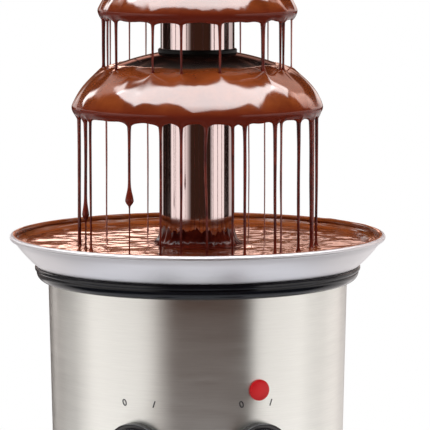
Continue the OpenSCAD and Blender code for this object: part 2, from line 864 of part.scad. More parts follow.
module auger() color([0.90, 0.89, 0.85]) {
    tip_z = tube_top_z + tip_rise;
    tip_r = core_r * 0.35;
    slot_w = pin_d + 2 * seat_gap;
    slot_top_z = pin_z + pin_d / 2 + seat_gap;
    difference() {
        union() {
            rotate_extrude()
                polygon(concat(
                    [[0, auger_z], [core_r, auger_z], [core_r, tube_top_z]],
                    arc([0, tip_z - tip_r], tip_r, 30, 90)));
            auger_flight();
        }
        translate([0, 0, auger_z - cut])
            cylinder(r = core_r - hub_wall, h = hub_roof_z - auger_z + cut);
        translate([0, 0, auger_z - cut])
            cylinder(r = shaft_r + slip_gap, h = shaft_top_z + drop_gap - auger_z + cut);
        translate([-core_r - cut, -slot_w / 2, auger_z - cut])
            cube([2 * core_r + 2 * cut, slot_w, slot_top_z - auger_z + cut]);
    }
}

module tower_foot() color([0.16, 0.15, 0.15]) {
    outer_r = tube_r + foot_ring_wall;
    ear_r = post_d / 2 + drop_gap + ear_wall;
    arch_r = arch_w / 2;
    top_edge = 1;
    difference() {
        union() {
            rotate_extrude()
                polygon([
                    [tube_inner_r, tower_z],
                    [outer_r, tower_z],
                    [outer_r, tower_z + foot_ring_h - top_edge],
                    [outer_r - top_edge, tower_z + foot_ring_h],
                    [tube_inner_r, tower_z + foot_ring_h]
                ]);
            around(post_angles, post_reach)
                translate([0, 0, tower_z])
                    cylinder(r = ear_r, h = ear_h);
            for (a = post_angles)
                rotate([0, 0, a])
                    translate([tube_inner_r + 1, -ear_r, tower_z])
                        cube([post_reach - tube_inner_r - 1, 2 * ear_r, ear_h]);
        }
        translate([0, 0, tube_z])
            cylinder(r = tube_r + run_gap, h = foot_ring_h);
        translate([0, 0, tower_z - cut])
            cylinder(r = tube_inner_r, h = foot_ring_h + 2 * cut);
        around(post_angles, post_reach)
            translate([0, 0, tower_z - cut])
                cylinder(d = post_d + 2 * drop_gap, h = ear_h + 2 * cut);
        for (a = arch_angles)
            rotate([0, 0, a])
                translate([tube_inner_r - 3, 0, tower_z + arch_h - arch_r]) {
                    rotate([0, 90, 0])
                        cylinder(r = arch_r, h = foot_ring_wall + 9);
                    translate([0, -arch_r, -arch_h])
                        cube([foot_ring_wall + 9, arch_w, arch_h]);
                }
    }
}

module tower_tube() color(polished_colour) {
    translate([0, 0, tube_z])
        ring(tube_inner_r, tube_r, tube_top_z - tube_z);
}

// A domed tier with a neck that slips over the tube
module tier(d, rise, shoulder) {
    s = shoulder_centre(d, shoulder);
    c = [0, dome_centre_z(d, rise, shoulder)];
    big_r = dome_r(d, rise, shoulder);
    half = tier_wall / 2;
    join = atan2(s.y - c.y, s.x);
    meet = acos(half / tier_bead_r);
    meet_turn = atan2(tier_bead_r * sin(meet), shoulder);
    edge = tier_edge_angle;
    bead_c = [d / 2 - tier_bead_r, 0];
    neck_z = neck_height(d, rise, shoulder);
    rotate_extrude($fn = 128)
        polygon(concat(
            arc(c, big_r + half, acos(neck_r / (big_r + half)), join),
            arc(s, shoulder + half, join, edge + meet_turn),
            arc(bead_c, tier_bead_r, edge + meet, edge - 180 - meet),
            arc(s, shoulder - half, edge + meet_turn, join),
            arc(c, big_r - half, join, acos((neck_r + tier_wall) / (big_r - half))),
            [[neck_r + tier_wall, neck_z], [neck_r, neck_z]]));
}

module lower_tier() color(polished_colour) {
    translate([0, 0, lower_edge_z])
        tier(lower_tier_d, lower_tier_rise, lower_tier_shoulder);
}

module upper_tier() color(polished_colour) {
    translate([0, 0, upper_edge_z])
        tier(upper_tier_d, upper_tier_rise, upper_tier_shoulder);
}

// A collar that closes the joint between a dome and the tube
module tier_collar() {
    edge = 0.6;
    rotate_extrude()
        polygon([
            [tube_r + run_gap, 0],
            [tube_r + collar_wall, 0],
            [tube_r + collar_wall, collar_h - edge],
            [tube_r + collar_wall - edge, collar_h],
            [tube_r + run_gap, collar_h]
        ]);
}

module lower_tier_collar() color(black_colour) {
    translate([0, 0, lower_neck_z + neck_to_collar])
        tier_collar();
}

module upper_tier_collar() color(black_colour) {
    translate([0, 0, upper_neck_z + neck_to_collar])
        tier_collar();
}

// A stop ring that is fixed on the tube and carries a tier's neck
module tier_stop() {
    edge = 1;
    rotate_extrude()
        polygon([
            [tube_r, -stop_h],
            [tube_r + stop_wall - edge, -stop_h],
            [tube_r + stop_wall, edge - stop_h],
            [tube_r + stop_wall, 0],
            [tube_r, 0]
        ]);
}

module lower_tier_stop() color(polished_colour) {
    translate([0, 0, lower_neck_z])
        tier_stop();
}

module upper_tier_stop() color(polished_colour) {
    translate([0, 0, upper_neck_z])
        tier_stop();
}

module crown() color(polished_colour) {
    flare_c = [tube_inner_r + crown_flare, tube_top_z + crown_wall];
    lip_r = crown_wall / 2;
    end = flare_c + (crown_flare - lip_r) * [cos(crown_stop), sin(crown_stop)];
    inner_flare = crown_flare - crown_wall;
    sleeve_inner = tube_r + slip_gap;
    sleeve_outer = sleeve_inner + crown_wall;
    sleeve_meet = acos((flare_c.x - sleeve_outer) / inner_flare);
    rotate_extrude($fn = 128)
        polygon(concat(
            [[tube_inner_r, tube_top_z]],
            arc(flare_c, crown_flare, 180, crown_stop),
            arc(end, lip_r, crown_stop - 30, crown_stop - 150),
            arc(flare_c, inner_flare, crown_stop, 180 - sleeve_meet),
            [
                [sleeve_outer, tube_top_z - crown_sleeve_h],
                [sleeve_inner, tube_top_z - crown_sleeve_h],
                [sleeve_inner, tube_top_z]
            ]));
}

// A rotary switch, drawn on its own axis
module rotary_switch() {
    tab_w = 5;
    tab_t = 0.8;
    tab_h = 8;
    tab_pitch = 7;
    difference() {
        union() {
            translate([-switch_w / 2, -switch_w / 2, switch_seat - switch_t])
                cube([switch_w, switch_w, switch_t]);
            translate([0, 0, switch_seat - switch_t / 2])
                cylinder(r = switch_bush_r, h = switch_bush_h + switch_nut_seat - switch_seat + switch_t / 2);
            for (i = [-1:1])
                translate([i * tab_pitch - tab_t / 2, -tab_w / 2, switch_seat - switch_t - tab_h])
                    cube([tab_t, tab_w, tab_h + switch_t / 2]);
        }
        translate([0, 0, spindle_start - 0.5])
            cylinder(r = spindle_r + run_gap, h = switch_t + 20);
    }
}

module motor_switch() color([0.20, 0.20, 0.22]) {
    on_sleeve(motor_angle, knob_z)
        rotary_switch();
}

module heat_switch() color([0.20, 0.20, 0.22]) {
    on_sleeve(heat_angle, knob_z)
        rotary_switch();
}

module switch_nuts() color(zinc_colour) {
    for (a = [motor_angle, heat_angle])
        on_sleeve(a, knob_z)
            translate([0, 0, switch_nut_seat])
                hex_nut(switch_nut_d, switch_bush_d, switch_nut_t);
}

module switch_spindle() {
    translate([0, 0, spindle_start])
        cylinder(r = spindle_r, h = spindle_end - spindle_start, $fn = 48);
}

module motor_switch_shaft() color(zinc_colour) {
    on_sleeve(motor_angle, knob_z)
        switch_spindle();
}

module heat_switch_shaft() color(zinc_colour) {
    on_sleeve(heat_angle, knob_z)
        switch_spindle();
}

// A knob with a round skirt and a grip bar that lies along its own Y
module knob() {
    skirt_r = knob_d / 2;
    grip_r = skirt_r - 2.5;
    face_r = grip_r - 1.5;
    edge = 1.2;
    mark_w = 1.6;
    mark_l = 9;
    mark_t = 0.5;
    difference() {
        rotate_extrude()
            polygon(concat(
                [[0, knob_back], [skirt_r - 0.6, knob_back], [skirt_r, knob_back + 0.6]],
                arc([skirt_r - edge, knob_skirt_top - edge], edge, 0, 90),
                [[grip_r, knob_skirt_top]],
                arc([face_r - edge, knob_depth - edge], edge, 20, 90),
                [[0, knob_depth]]));
        for (side = [-1, 1])
            translate([side * (knob_bar_w / 2 + knob_scoop), -knob_d, knob_skirt_top + knob_scoop])
                rotate([-90, 0, 0])
                    cylinder(r = knob_scoop, h = 2 * knob_d);
        for (side = [-1, 1])
            translate([side > 0 ? knob_bar_w / 2 + knob_scoop : -knob_d - knob_bar_w / 2 - knob_scoop,
                       -knob_d, knob_skirt_top])
                cube([knob_d, 2 * knob_d, knob_depth]);
        translate([0, 0, knob_back - cut])
            cylinder(r = knob_hollow_r, h = knob_hollow_top - knob_back + cut);
        translate([0, 0, knob_back])
            cylinder(r = spindle_r, h = spindle_end - knob_back, $fn = 48);
        translate([-mark_w / 2, face_r - mark_l - 1, knob_depth - mark_t])
            cube([mark_w, mark_l, mark_t + cut]);
    }
}

module motor_knob() color(black_colour) {
    on_sleeve(motor_angle, knob_z)
        rotate([0, 0, -knob_on_angle])
            knob();
}

module heat_knob() color(black_colour) {
    on_sleeve(heat_angle, knob_z)
        rotate([0, 0, -knob_on_angle])
            knob();
}

module lamp_lens() color(red_colour) {
    dome = 0.9;
    rim_t = 1;
    barrel_l = 6;
    on_sleeve(heat_angle, lamp_z)
        rotate_extrude($fn = 64)
            polygon([
                [0, -barrel_l],
                [lamp_barrel_r, -barrel_l],
                [lamp_barrel_r, lamp_lens_seat],
                [lamp_r, lamp_lens_seat],
                [lamp_r, lamp_lens_seat + rim_t],
                [lamp_r * 0.8, lamp_lens_seat + rim_t + dome * 0.6],
                [lamp_r * 0.45, lamp_lens_seat + rim_t + dome * 0.9],
                [0, lamp_lens_seat + rim_t + dome]
            ]);
}

module lamp_holder() color(white_colour) {
    tab_w = 3;
    tab_t = 0.8;
    tab_h = 7;
    back = lamp_holder_seat - lamp_holder_l;
    floor_t = 3;
    on_sleeve(heat_angle, lamp_z) {
        difference() {
            translate([0, 0, back])
                cylinder(r = lamp_holder_r, h = lamp_holder_l);
            translate([0, 0, back + floor_t])
                cylinder(r = lamp_barrel_r + run_gap, h = lamp_holder_l);
        }
        for (side = [-1, 1])
            translate([side * lamp_barrel_r / 2 - tab_t / 2, -tab_w / 2, back - tab_h])
                cube([tab_t, tab_w, tab_h + floor_t / 2]);
    }
}

module cord_gland() color(black_colour) {
    edge = 1;
    inside_l = gland_nut_t - gland_nut_seat + 2;
    on_sleeve(gland_angle, gland_z)
        rotate_extrude()
            polygon([
                [gland_bore_d / 2, -inside_l],
                [gland_r, -inside_l],
                [gland_r, gland_flange_seat],
                [gland_flange_r, gland_flange_seat],
                [gland_flange_r, gland_flange_seat + gland_flange_t - edge],
                [gland_flange_r - edge, gland_flange_seat + gland_flange_t],
                [gland_bore_d / 2, gland_flange_seat + gland_flange_t]
            ]);
}

module gland_nut() color(black_colour) {
    on_sleeve(gland_angle, gland_z)
        translate([0, 0, gland_nut_seat - gland_nut_t])
            hex_nut(2 * gland_nut_r, gland_d, gland_nut_t);
}

body_shell();
top_ring();
base_pan();
rubber_feet();
tie_screws();
bowl();
bowl_posts();
heater_plate();
heating_element();
thermostat();
spacers();
motor_plate();
stud_nuts();
gear_case();
motor_can();
motor_screws();
shaft_bush();
shaft_seal();
drive_shaft();
drive_pin();
auger();
tower_foot();
tower_tube();
lower_tier();
lower_tier_collar();
lower_tier_stop();
upper_tier();
upper_tier_collar();
upper_tier_stop();
crown();
motor_switch();
heat_switch();
switch_nuts();
motor_switch_shaft();
heat_switch_shaft();
motor_knob();
heat_knob();
lamp_lens();
lamp_holder();
cord_gland();
gland_nut();
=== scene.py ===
# %% [markdown]
# # A chocolate fountain
# The CAD model comes in as a fixed frame: a steel housing with two knobs, a wide bowl, and a tower of two
# domed tiers that lifts out. Blender adds what CAD has no use for: mirror-smooth spun steel, brushed and
# moulded finishes, and the melted chocolate that coats the tiers and falls in threads.

# %% Load the frame
import json
from math import acos, asin, atan2, cos, degrees, exp, hypot, pi, radians, sin, sqrt, tau

import bmesh
import bpy
from mathutils import Matrix, Vector, noise


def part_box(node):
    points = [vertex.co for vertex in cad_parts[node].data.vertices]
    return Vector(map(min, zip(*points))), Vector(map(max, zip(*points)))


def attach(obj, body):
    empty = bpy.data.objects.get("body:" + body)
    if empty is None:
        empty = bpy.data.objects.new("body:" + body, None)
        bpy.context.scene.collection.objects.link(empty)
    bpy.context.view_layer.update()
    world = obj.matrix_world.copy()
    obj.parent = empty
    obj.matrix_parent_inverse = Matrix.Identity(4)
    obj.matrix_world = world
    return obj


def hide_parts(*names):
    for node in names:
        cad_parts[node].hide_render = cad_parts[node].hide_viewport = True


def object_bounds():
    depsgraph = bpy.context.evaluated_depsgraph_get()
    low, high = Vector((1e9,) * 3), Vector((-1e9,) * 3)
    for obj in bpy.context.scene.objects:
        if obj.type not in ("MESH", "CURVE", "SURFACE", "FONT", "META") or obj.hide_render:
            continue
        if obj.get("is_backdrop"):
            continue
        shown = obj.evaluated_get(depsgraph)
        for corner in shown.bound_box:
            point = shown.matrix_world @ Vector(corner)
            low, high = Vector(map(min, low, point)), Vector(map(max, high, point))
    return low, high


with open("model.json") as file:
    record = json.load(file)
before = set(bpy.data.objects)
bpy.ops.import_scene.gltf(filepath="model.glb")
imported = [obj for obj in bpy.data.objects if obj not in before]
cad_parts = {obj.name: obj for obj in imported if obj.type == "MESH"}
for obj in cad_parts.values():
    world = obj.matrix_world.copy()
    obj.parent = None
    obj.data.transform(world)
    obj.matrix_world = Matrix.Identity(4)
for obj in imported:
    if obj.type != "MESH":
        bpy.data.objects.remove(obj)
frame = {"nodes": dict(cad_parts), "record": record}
cad_box = [list(corner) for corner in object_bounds()]
scene = bpy.context.scene
scene.view_settings.view_transform = "Standard"
MM = 0.001


def mm(*lengths):
    """Lengths in millimetres, to be printed."""
    return [round(length / MM, 1) for length in lengths]


print("CAD box in mm", mm(*cad_box[0]), mm(*cad_box[1]))

# %% [markdown]
# ## Camera
# A long lens from about two metres flattens the rims into thin ellipses. The camera could be tracked to an
# empty, but three numbers, height, tilt and a slight turn, are easier to fit to a picture.

# %% Camera
PICTURE_WIDTH = 430
FOCUS = 3000
SENSOR = 36
CAMERA_PLACE = (0, -1.905, 0.411)
CAMERA_TILT = 6.52
CAMERA_TURN = -0.334
camera_data = bpy.data.cameras.new("picture_camera")
camera_data.sensor_width = SENSOR
camera_data.lens = SENSOR * FOCUS / PICTURE_WIDTH
camera = bpy.data.objects.new("picture_camera", camera_data)
camera.location = CAMERA_PLACE
camera.rotation_euler = (radians(90 - CAMERA_TILT), 0, radians(CAMERA_TURN))
scene.collection.objects.link(camera)
scene.camera = camera
print("lens", round(camera_data.lens, 1), "mm")

# %% [markdown]
# ## Shader maths as Python
# A material is a small program, and wiring it node by node hides the sums. The class below wraps a socket,
# so that `1 - mask` or `height * 0.5` adds the Math node by itself, and one method makes every other node.

# %% Wires
class Wire:
    """A socket of a node tree that can be used in Python expressions."""

    def __init__(self, tree, socket=None):
        self.tree = tree
        self.socket = socket

    def node(self, kind, out=0, sockets=None, **settings):
        """Adds a node with its settings, then its socket values or links, and gives one of its outputs."""
        made = self.tree.nodes.new(kind)
        for key, value in settings.items():
            if key == "stops":
                for i, (place, colour) in enumerate(value):
                    elements = made.color_ramp.elements
                    element = elements[i] if i < 2 else elements.new(place)
                    element.position = place
                    element.color = colour
            else:
                setattr(made, key, value)
        for key, value in (sockets or {}).items():
            if isinstance(value, Wire):
                self.tree.links.new(value.socket, made.inputs[key])
            else:
                made.inputs[key].default_value = value
        return Wire(self.tree, made.outputs[out] if made.outputs else None)

    def math(self, operation, *values):
        return self.node("ShaderNodeMath", operation=operation, sockets=dict(enumerate(values)))

    def smooth(self, low, high):
        """0 below low, 1 above high, and a soft step between them."""
        return self.node("ShaderNodeMapRange", interpolation_type="SMOOTHSTEP",
                         sockets={0: self, 1: low, 2: high})

    def xyz(self):
        made = self.node("ShaderNodeSeparateXYZ", sockets={0: self}).socket.node
        return [Wire(self.tree, socket) for socket in made.outputs]

    def __add__(self, other):
        return self.math("ADD", self, other)

    __radd__ = __add__

    def __mul__(self, other):
        return self.math("MULTIPLY", self, other)

    __rmul__ = __mul__

    def __sub__(self, other):
        return self.math("SUBTRACT", self, other)

    def __rsub__(self, other):
        return self.math("SUBTRACT", other, self)

    def __truediv__(self, other):
        return self.math("DIVIDE", self, other)


print("a Wire adds its nodes by itself")


# %% Shader helpers
def band(value, rise, fall):
    """1 between two limits, each a pair of values where its soft edge starts and ends."""
    return value.smooth(*rise) * (1 - value.smooth(*fall))


def blank_material(name):
    """An empty node material and a wire to start from."""
    material = bpy.data.materials.new(name)
    material.use_nodes = True
    material.node_tree.nodes.clear()
    return material, Wire(material.node_tree)


def shade(wire, sockets):
    """Ends a material in a Principled shader."""
    shader = wire.node("ShaderNodeBsdfPrincipled", sockets=sockets)
    wire.node("ShaderNodeOutputMaterial", sockets={"Surface": shader})


def mix_colour(wire, factor, first, second):
    """Blends two colours or colour wires."""
    return wire.node("ShaderNodeMix", out=2, data_type="RGBA", sockets={0: factor, 6: first, 7: second})


def speckle(wire, place, scale, detail=2.0, roughness=0.5):
    """Noise between 0 and 1."""
    return wire.node("ShaderNodeTexNoise", sockets={
        "Vector": place, "Scale": scale, "Detail": detail, "Roughness": roughness})


def tint(colour, factor):
    """A colour made darker or lighter, with its alpha."""
    return (*(min(1.0, c * factor) for c in colour[:3]), 1.0)


print("helpers for bands, noise and colours ready")

# %% [markdown]
# ## Studio
# Polished steel has almost no colour of its own: what it shows is the room. The room here is a plain
# product studio: a tall pale screen on each side, strips and haze behind, a soft box overhead, and darkness
# round the camera. Area lamps could stand for them, with more noise and no soft edges. Here they are panels
# in the world shader, each a band of turns and a band of heights, and the camera itself sees white.

# %% Directions of the room
world = bpy.data.worlds.new("studio")
scene.world = world
world.use_nodes = True
world.node_tree.nodes.clear()
room = Wire(world.node_tree)
ray_x, ray_y, ray_z = room.node("ShaderNodeTexCoord", out="Generated").xyz()
turn = room.math("ARCTAN2", ray_x, 0 - ray_y) * (180 / pi)
behind = room.math("ABSOLUTE", turn)
on_right = turn.smooth(-1, 1)


def panel(way, turns, height, heights, strength):
    """A panel of light between two turns in degrees and two heights, each limit with its soft edge."""
    return band(way, *turns) * band(height, *heights) * strength


print("turns count from the camera, positive on the right")

# %% [markdown]
# ### Side screens
# The screens fill both sides of every round piece. Dark slots in them, just below the horizon, draw the
# lines that make polished steel look hard. A slot is a product of two bands too, taken off the screen.

# %% Side screens
left_slot = band(ray_z, (-0.13, -0.12), (0.0, 0.02)) * (1 - turn.smooth(-95, -89))
left_slot = left_slot * (1 - band(turn, (-150, -148), (-139, -137)))
far_left = (1 - turn.smooth(-114, -100)) * 0.6 + (1 - turn.smooth(-140, -118)) * 0.22
left_slot += band(ray_z, (-0.34, -0.28), (-0.13, -0.12)) * far_left
left = band(turn, (-168, -160), (-44, -18)) * (1 - left_slot)
right_slot = band(ray_z, (-0.13, -0.12), (-0.04, -0.03))
right_slot = right_slot * (band(turn, (90, 92), (114, 116)) + turn.smooth(140, 142))
right = band(turn, (39, 47), (166, 174)) * (1 - right_slot) * (1 - turn.smooth(102, 118) * 0.14)
screens = (left + right) * band(ray_z, (-0.42, -0.28), (0.11, 0.15)) * (1.5 - 0.5 * behind.smooth(95, 125))
print("two screens with dark slots")

# %% [markdown]
# ### Panels behind and above
# The coats of chocolate face upwards and away, so their highlights are the panels behind the object. The
# soft box overhead is a window in a flat ceiling: a direction divided by its climb is a place on it.

# %% Panels behind and above
left_strip = panel(turn, ((-146, -141), (-134, -129)), ray_z, ((0.18, 0.22), (0.42, 0.5)), 4.5)
left_haze = panel(turn, ((-152, -142), (-126, -116)), ray_z, ((0.42, 0.5), (0.62, 0.7)), 0.8)
right_haze = panel(turn, ((116, 126), (152, 162)), ray_z, ((0.4, 0.46), (0.62, 0.7)), 0.9)
right_strip = panel(turn + ray_z * 40, ((136, 140), (148, 152)), ray_z, ((0.1, 0.15), (0.5, 0.58)), 1.8)
patches = panel(behind, ((104, 110), (130, 136)), ray_z + on_right * 0.07, ((0.64, 0.67), (0.78, 0.82)), 4.0)
back_strip = behind.smooth(165, 172) * band(ray_z, (0.15, 0.18), (0.25, 0.29)) * (2.2 - on_right * 1.3)
back_low = behind.smooth(105, 125) * band(ray_z, (-0.8, -0.7), (-0.34, -0.24))
back_glow = behind.smooth(120, 140) * band(ray_z, (-0.04, -0.02), (0.13, 0.15))
climb = room.math("MAXIMUM", ray_z, 0.05)
side_way = ray_x / climb
front_way = ray_y / climb - room.math("ABSOLUTE", side_way) * 0.6
overhead = band(side_way, (-1.12, -1.0), (0.9, 1.02)) * band(front_way, (-0.98, -0.88), (-0.17, -0.05))
overhead = overhead * ray_z.smooth(0.1, 0.2)
front = band(turn, (-45, -30), (30, 45))
front_low = front * band(ray_z, (-0.75, -0.6), (-0.2, -0.16))
below = 1 - ray_z.smooth(-0.85, -0.75)
print("panels behind, above and below")

# %% [markdown]
# ### Colours of the room
# A room is never of one colour. The screens are a little warm, what stands behind the chocolate is brown,
# and the soft box is cool. Three backgrounds, one for each colour, are added up.

# %% Colours of the room
PALE = (1.0, 0.955, 0.945, 1)
WARM = (1.0, 0.36, 0.18, 1)
COOL = (0.95, 0.955, 0.965, 1)
SOFT_BOX = 5.4


def background(colour, strength):
    """Light of one colour from the world."""
    return room.node("ShaderNodeBackground", sockets={"Color": colour, "Strength": strength})


pale_light = 0.006 + screens + left_strip + left_haze * 0.7 + right_haze * 0.5 + right_strip * 0.6 + patches
pale_light += back_strip * 0.6 + back_low * 0.9 + front_low * 0.06 + below * 0.8
warm_light = 0.012 + front * 0.035 + back_glow * 0.2
warm_light += back_strip * 0.9 + left_haze * 0.3 + right_haze * 0.5 + right_strip * 0.4
studio = background(PALE, pale_light)
for colour, strength in ((WARM, warm_light), (COOL, overhead * SOFT_BOX)):
    studio = room.node("ShaderNodeAddShader", sockets={0: studio, 1: background(colour, strength)})
seen = room.node("ShaderNodeLightPath", out="Is Camera Ray")
both = room.node("ShaderNodeMixShader", sockets={0: seen, 1: studio, 2: background((1, 1, 1, 1), 1.0)})
room.node("ShaderNodeOutputWorld", sockets={"Surface": both})
print("studio of", len(world.node_tree.nodes), "nodes")

# %% [markdown]
# ## Floor
# The floor is a disc that keeps the shadow under the object and fades into the white background further
# out, so that no horizon shows. Mirrors would show that fade as a grey rim, so for glossy rays the floor is
# an even white near the object and clear further out.

# %% Floor
FLOOR_RADIUS = 0.75
FADE = (0.15, 0.3)
MIRRORED_END = (0.16, 0.22)
floor_material, wire = blank_material("pale_floor")
floor_place = wire.node("ShaderNodeTexCoord", out="Object")
reach = wire.node("ShaderNodeVectorMath", out="Value", operation="LENGTH", sockets={0: floor_place})
board = wire.node("ShaderNodeBsdfPrincipled", sockets={"Base Color": (0.8, 0.8, 0.8, 1), "Roughness": 0.9})
glow = wire.node("ShaderNodeEmission", sockets={"Color": (1, 1, 1, 1), "Strength": 1.0})
pale = wire.node("ShaderNodeEmission", sockets={"Color": (0.95, 0.95, 1.0, 1), "Strength": 1.0})
clear = wire.node("ShaderNodeBsdfTransparent")
fade = reach.smooth(*FADE) * wire.node("ShaderNodeLightPath", out="Is Camera Ray")
seen_floor = wire.node("ShaderNodeMixShader", sockets={0: fade, 1: board, 2: glow})
mirrored_end = reach.smooth(*MIRRORED_END)
mirrored_floor = wire.node("ShaderNodeMixShader", sockets={0: mirrored_end, 1: pale, 2: clear})
mirrored = wire.node("ShaderNodeLightPath", out="Is Glossy Ray")
surface = wire.node("ShaderNodeMixShader", sockets={0: mirrored, 1: seen_floor, 2: mirrored_floor})
wire.node("ShaderNodeOutputMaterial", sockets={"Surface": surface})

bm = bmesh.new()
bmesh.ops.create_circle(bm, cap_ends=True, segments=128, radius=FLOOR_RADIUS)
floor_mesh = bpy.data.meshes.new("floor")
bm.to_mesh(floor_mesh)
bm.free()
floor = bpy.data.objects.new("floor", floor_mesh)
floor_mesh.materials.append(floor_material)
scene.collection.objects.link(floor)
floor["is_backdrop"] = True
print("floor disc", FLOOR_RADIUS, "m")

# %% [markdown]
# ## Plain finishes
# Plastics, rubber, zinc and cast metal differ in colour, gloss and grain, but are built alike: a broad
# noise mottles the colour, a fine noise moves the roughness, and a bump gives the grain. Each could be a
# material of its own, but one function makes them all, so that the differences stand in one table.

# %% Plain finishes
def finish(name, colour, roughness, metallic=0.0, grain=1500, mottle=0.1, bump=0.05, **uniform):
    """A finish with mottled colour, uneven roughness and a fine grain."""
    material, wire = blank_material(name)
    place = wire.node("ShaderNodeTexCoord", out="Object")
    broad = speckle(wire, place, grain / 25, 3.0)
    fine = speckle(wire, place, grain, 2.0)
    base = mix_colour(wire, broad, tint(colour, 1 - mottle), tint(colour, 1 + mottle))
    rough = roughness * (0.8 + fine * 0.25 + broad * 0.15)
    normal = wire.node("ShaderNodeBump", sockets={"Strength": bump, "Distance": 0.0003, "Height": fine})
    shade(wire, {"Base Color": base, "Roughness": rough, "Metallic": metallic, "Normal": normal, **uniform})
    return material


FINISHES = {
    "black_ring": finish("gloss_black_ring", (0.004, 0.005, 0.008), 0.16, bump=0.02, grain=900,
                         **{"Specular IOR Level": 0.3}),
    "black_base": finish("moulded_black_base", (0.016, 0.016, 0.018), 0.42, bump=0.25),
    "knob_plastic": finish("gloss_black_knob", (0.010, 0.010, 0.011), 0.14, bump=0.02, grain=900),
    "foot_rubber": finish("foot_rubber", (0.022, 0.022, 0.022), 0.7, bump=0.3, mottle=0.2),
    "collar_rubber": finish("collar_rubber", (0.006, 0.006, 0.006), 0.45, bump=0.1,
                            **{"Specular IOR Level": 0.2}),
    "foot_plastic": finish("tower_foot_plastic", (0.020, 0.018, 0.018), 0.35, bump=0.15),
    "auger_plastic": finish("auger_plastic", (0.80, 0.77, 0.68), 0.38, bump=0.1),
    "zinc_steel": finish("zinc_plate", (0.56, 0.57, 0.60), 0.34, metallic=1.0, bump=0.1, mottle=0.16),
    "shaft_steel": finish("ground_shaft", (0.60, 0.60, 0.60), 0.22, metallic=1.0, bump=0.05),
    "bush_bronze": finish("sintered_bronze", (0.50, 0.31, 0.12), 0.4, metallic=1.0, bump=0.2, mottle=0.2),
    "seal_silicone": finish("seal_silicone", (0.62, 0.58, 0.53), 0.5, bump=0.1),
    "cast_aluminium": finish("cast_aluminium", (0.52, 0.52, 0.53), 0.5, metallic=1.0, bump=0.5, grain=900),
    "element_sheath": finish("oxidised_sheath", (0.10, 0.09, 0.085), 0.55, metallic=0.8, bump=0.3,
                             mottle=0.3),
    "motor_paint": finish("motor_paint", (0.09, 0.095, 0.10), 0.4, bump=0.2),
    "switch_plastic": finish("switch_plastic", (0.035, 0.035, 0.038), 0.45, bump=0.2),
    "white_ceramic": finish("white_ceramic", (0.76, 0.75, 0.70), 0.5, bump=0.2),
}
print(len(FINISHES), "plain finishes")

# %% [markdown]
# ## Steel
# Steel is the same metal all over. What differs is the last pass of the polishing belt: long scratches
# round the housing, faint turning lines on the bowl, and a mirror on the tower, which is dulled on the
# tiers by a film of chocolate. The tower's steel is tinted pink, a painted reflection of a pinkish room.
# The scratches follow the object round its axis, so the noise is read on the angle and the height instead
# of on X, Y and Z. An image texture would need unwrapping.

# %% Steel finishes
def steel(name, colour, roughness, lines, streak, bump, satin_from=1.0, **uniform):
    """Stainless steel with scratches that run round the axis, and duller beyond a radius."""
    material, wire = blank_material(name)
    x, y, z = wire.node("ShaderNodeTexCoord", out="Object").xyz()
    angle = wire.math("ARCTAN2", x, 0 - y)
    far = wire.math("SQRT", x * x + y * y)
    level = (z + far * 0.7) * lines
    wrap = wire.node("ShaderNodeCombineXYZ", sockets={0: angle * 5.0, 1: level, 2: 0.0})
    long_wrap = wire.node("ShaderNodeCombineXYZ", sockets={0: angle * 1.5, 1: level / 9, 2: 3.0})
    scratch = speckle(wire, wrap, 1.0, 3.0, 0.6)
    cloud = speckle(wire, long_wrap, 1.0, 2.0)
    base = mix_colour(wire, scratch * 0.6 + cloud * 0.4, tint(colour, 1 - streak), tint(colour, 1 + streak))
    satin = far.smooth(satin_from - MM, satin_from + MM)
    rough = roughness * (0.75 + scratch * 0.3 + cloud * 0.2) + satin * 0.12
    normal = wire.node("ShaderNodeBump", sockets={"Strength": bump, "Distance": 0.0001, "Height": scratch})
    shade(wire, {"Base Color": base, "Roughness": rough, "Metallic": 1.0, "Normal": normal, **uniform})
    return material


FINISHES["brushed_sleeve"] = steel(
    "brushed_sleeve", (0.825, 0.835, 0.79), 0.34, lines=1500, streak=0.16, bump=0.12,
    **{"Anisotropic": 0.75, "Anisotropic Rotation": 0.25})
FINISHES["bowl_steel"] = steel(
    "satin_bowl", (0.77, 0.77, 0.79), 0.40, lines=1200, streak=0.04, bump=0.03, satin_from=115.8 * MM)
# The tower's pinkish colour is a painted reflection of a pinkish room; its steel is otherwise neutral.
FINISHES["tower_steel"] = steel(
    "mirror_tower_pink_reflection", (0.60, 0.49, 0.475), 0.07, lines=900, streak=0.03, bump=0.008)
filmed_tier = steel("filmed_tier", (0.36, 0.285, 0.26), 0.1, lines=500, streak=0.12, bump=0.01,
                    **{"Specular Tint": (0.16, 0.10, 0.09, 1), "Metallic": 0.85})
print("4 steel finishes")

# %% [markdown]
# ## Red lens
# The pilot lamp is a clear red lens over a small bulb. Real refraction would show the dark inside of the
# housing, so the lens is plain red with a little emission. A lit lens is flat in colour with a paler
# centre, so both follow a soft spot round the lens's own axis.

# %% Red lens
lens_low, lens_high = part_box("lamp_lens")
lens_centre = (lens_low + lens_high) / 2
lens_material, wire = blank_material("red_lens")
lens_place = wire.node("ShaderNodeTexCoord", out="Object")
lens_offset = wire.node(
    "ShaderNodeVectorMath", operation="SUBTRACT", sockets={0: lens_place, 1: lens_centre})
lens_x, _, lens_z = lens_offset.xyz()
spot = 1 - wire.math("SQRT", lens_x * lens_x + lens_z * lens_z).smooth(1 * MM, 6.2 * MM)
ribs = speckle(wire, lens_place, 900.0, 1.0)
red = mix_colour(wire, spot * 0.6 + ribs * 0.2, (0.37, 0.007, 0.010, 1), (0.46, 0.011, 0.014, 1))
shade(wire, {"Base Color": red, "Roughness": 0.3 + ribs * 0.1, "Specular IOR Level": 0.25,
             "Emission Color": red, "Emission Strength": 0.25})
FINISHES["red_lens"] = lens_material
print("lens at", mm(*lens_centre), "mm")
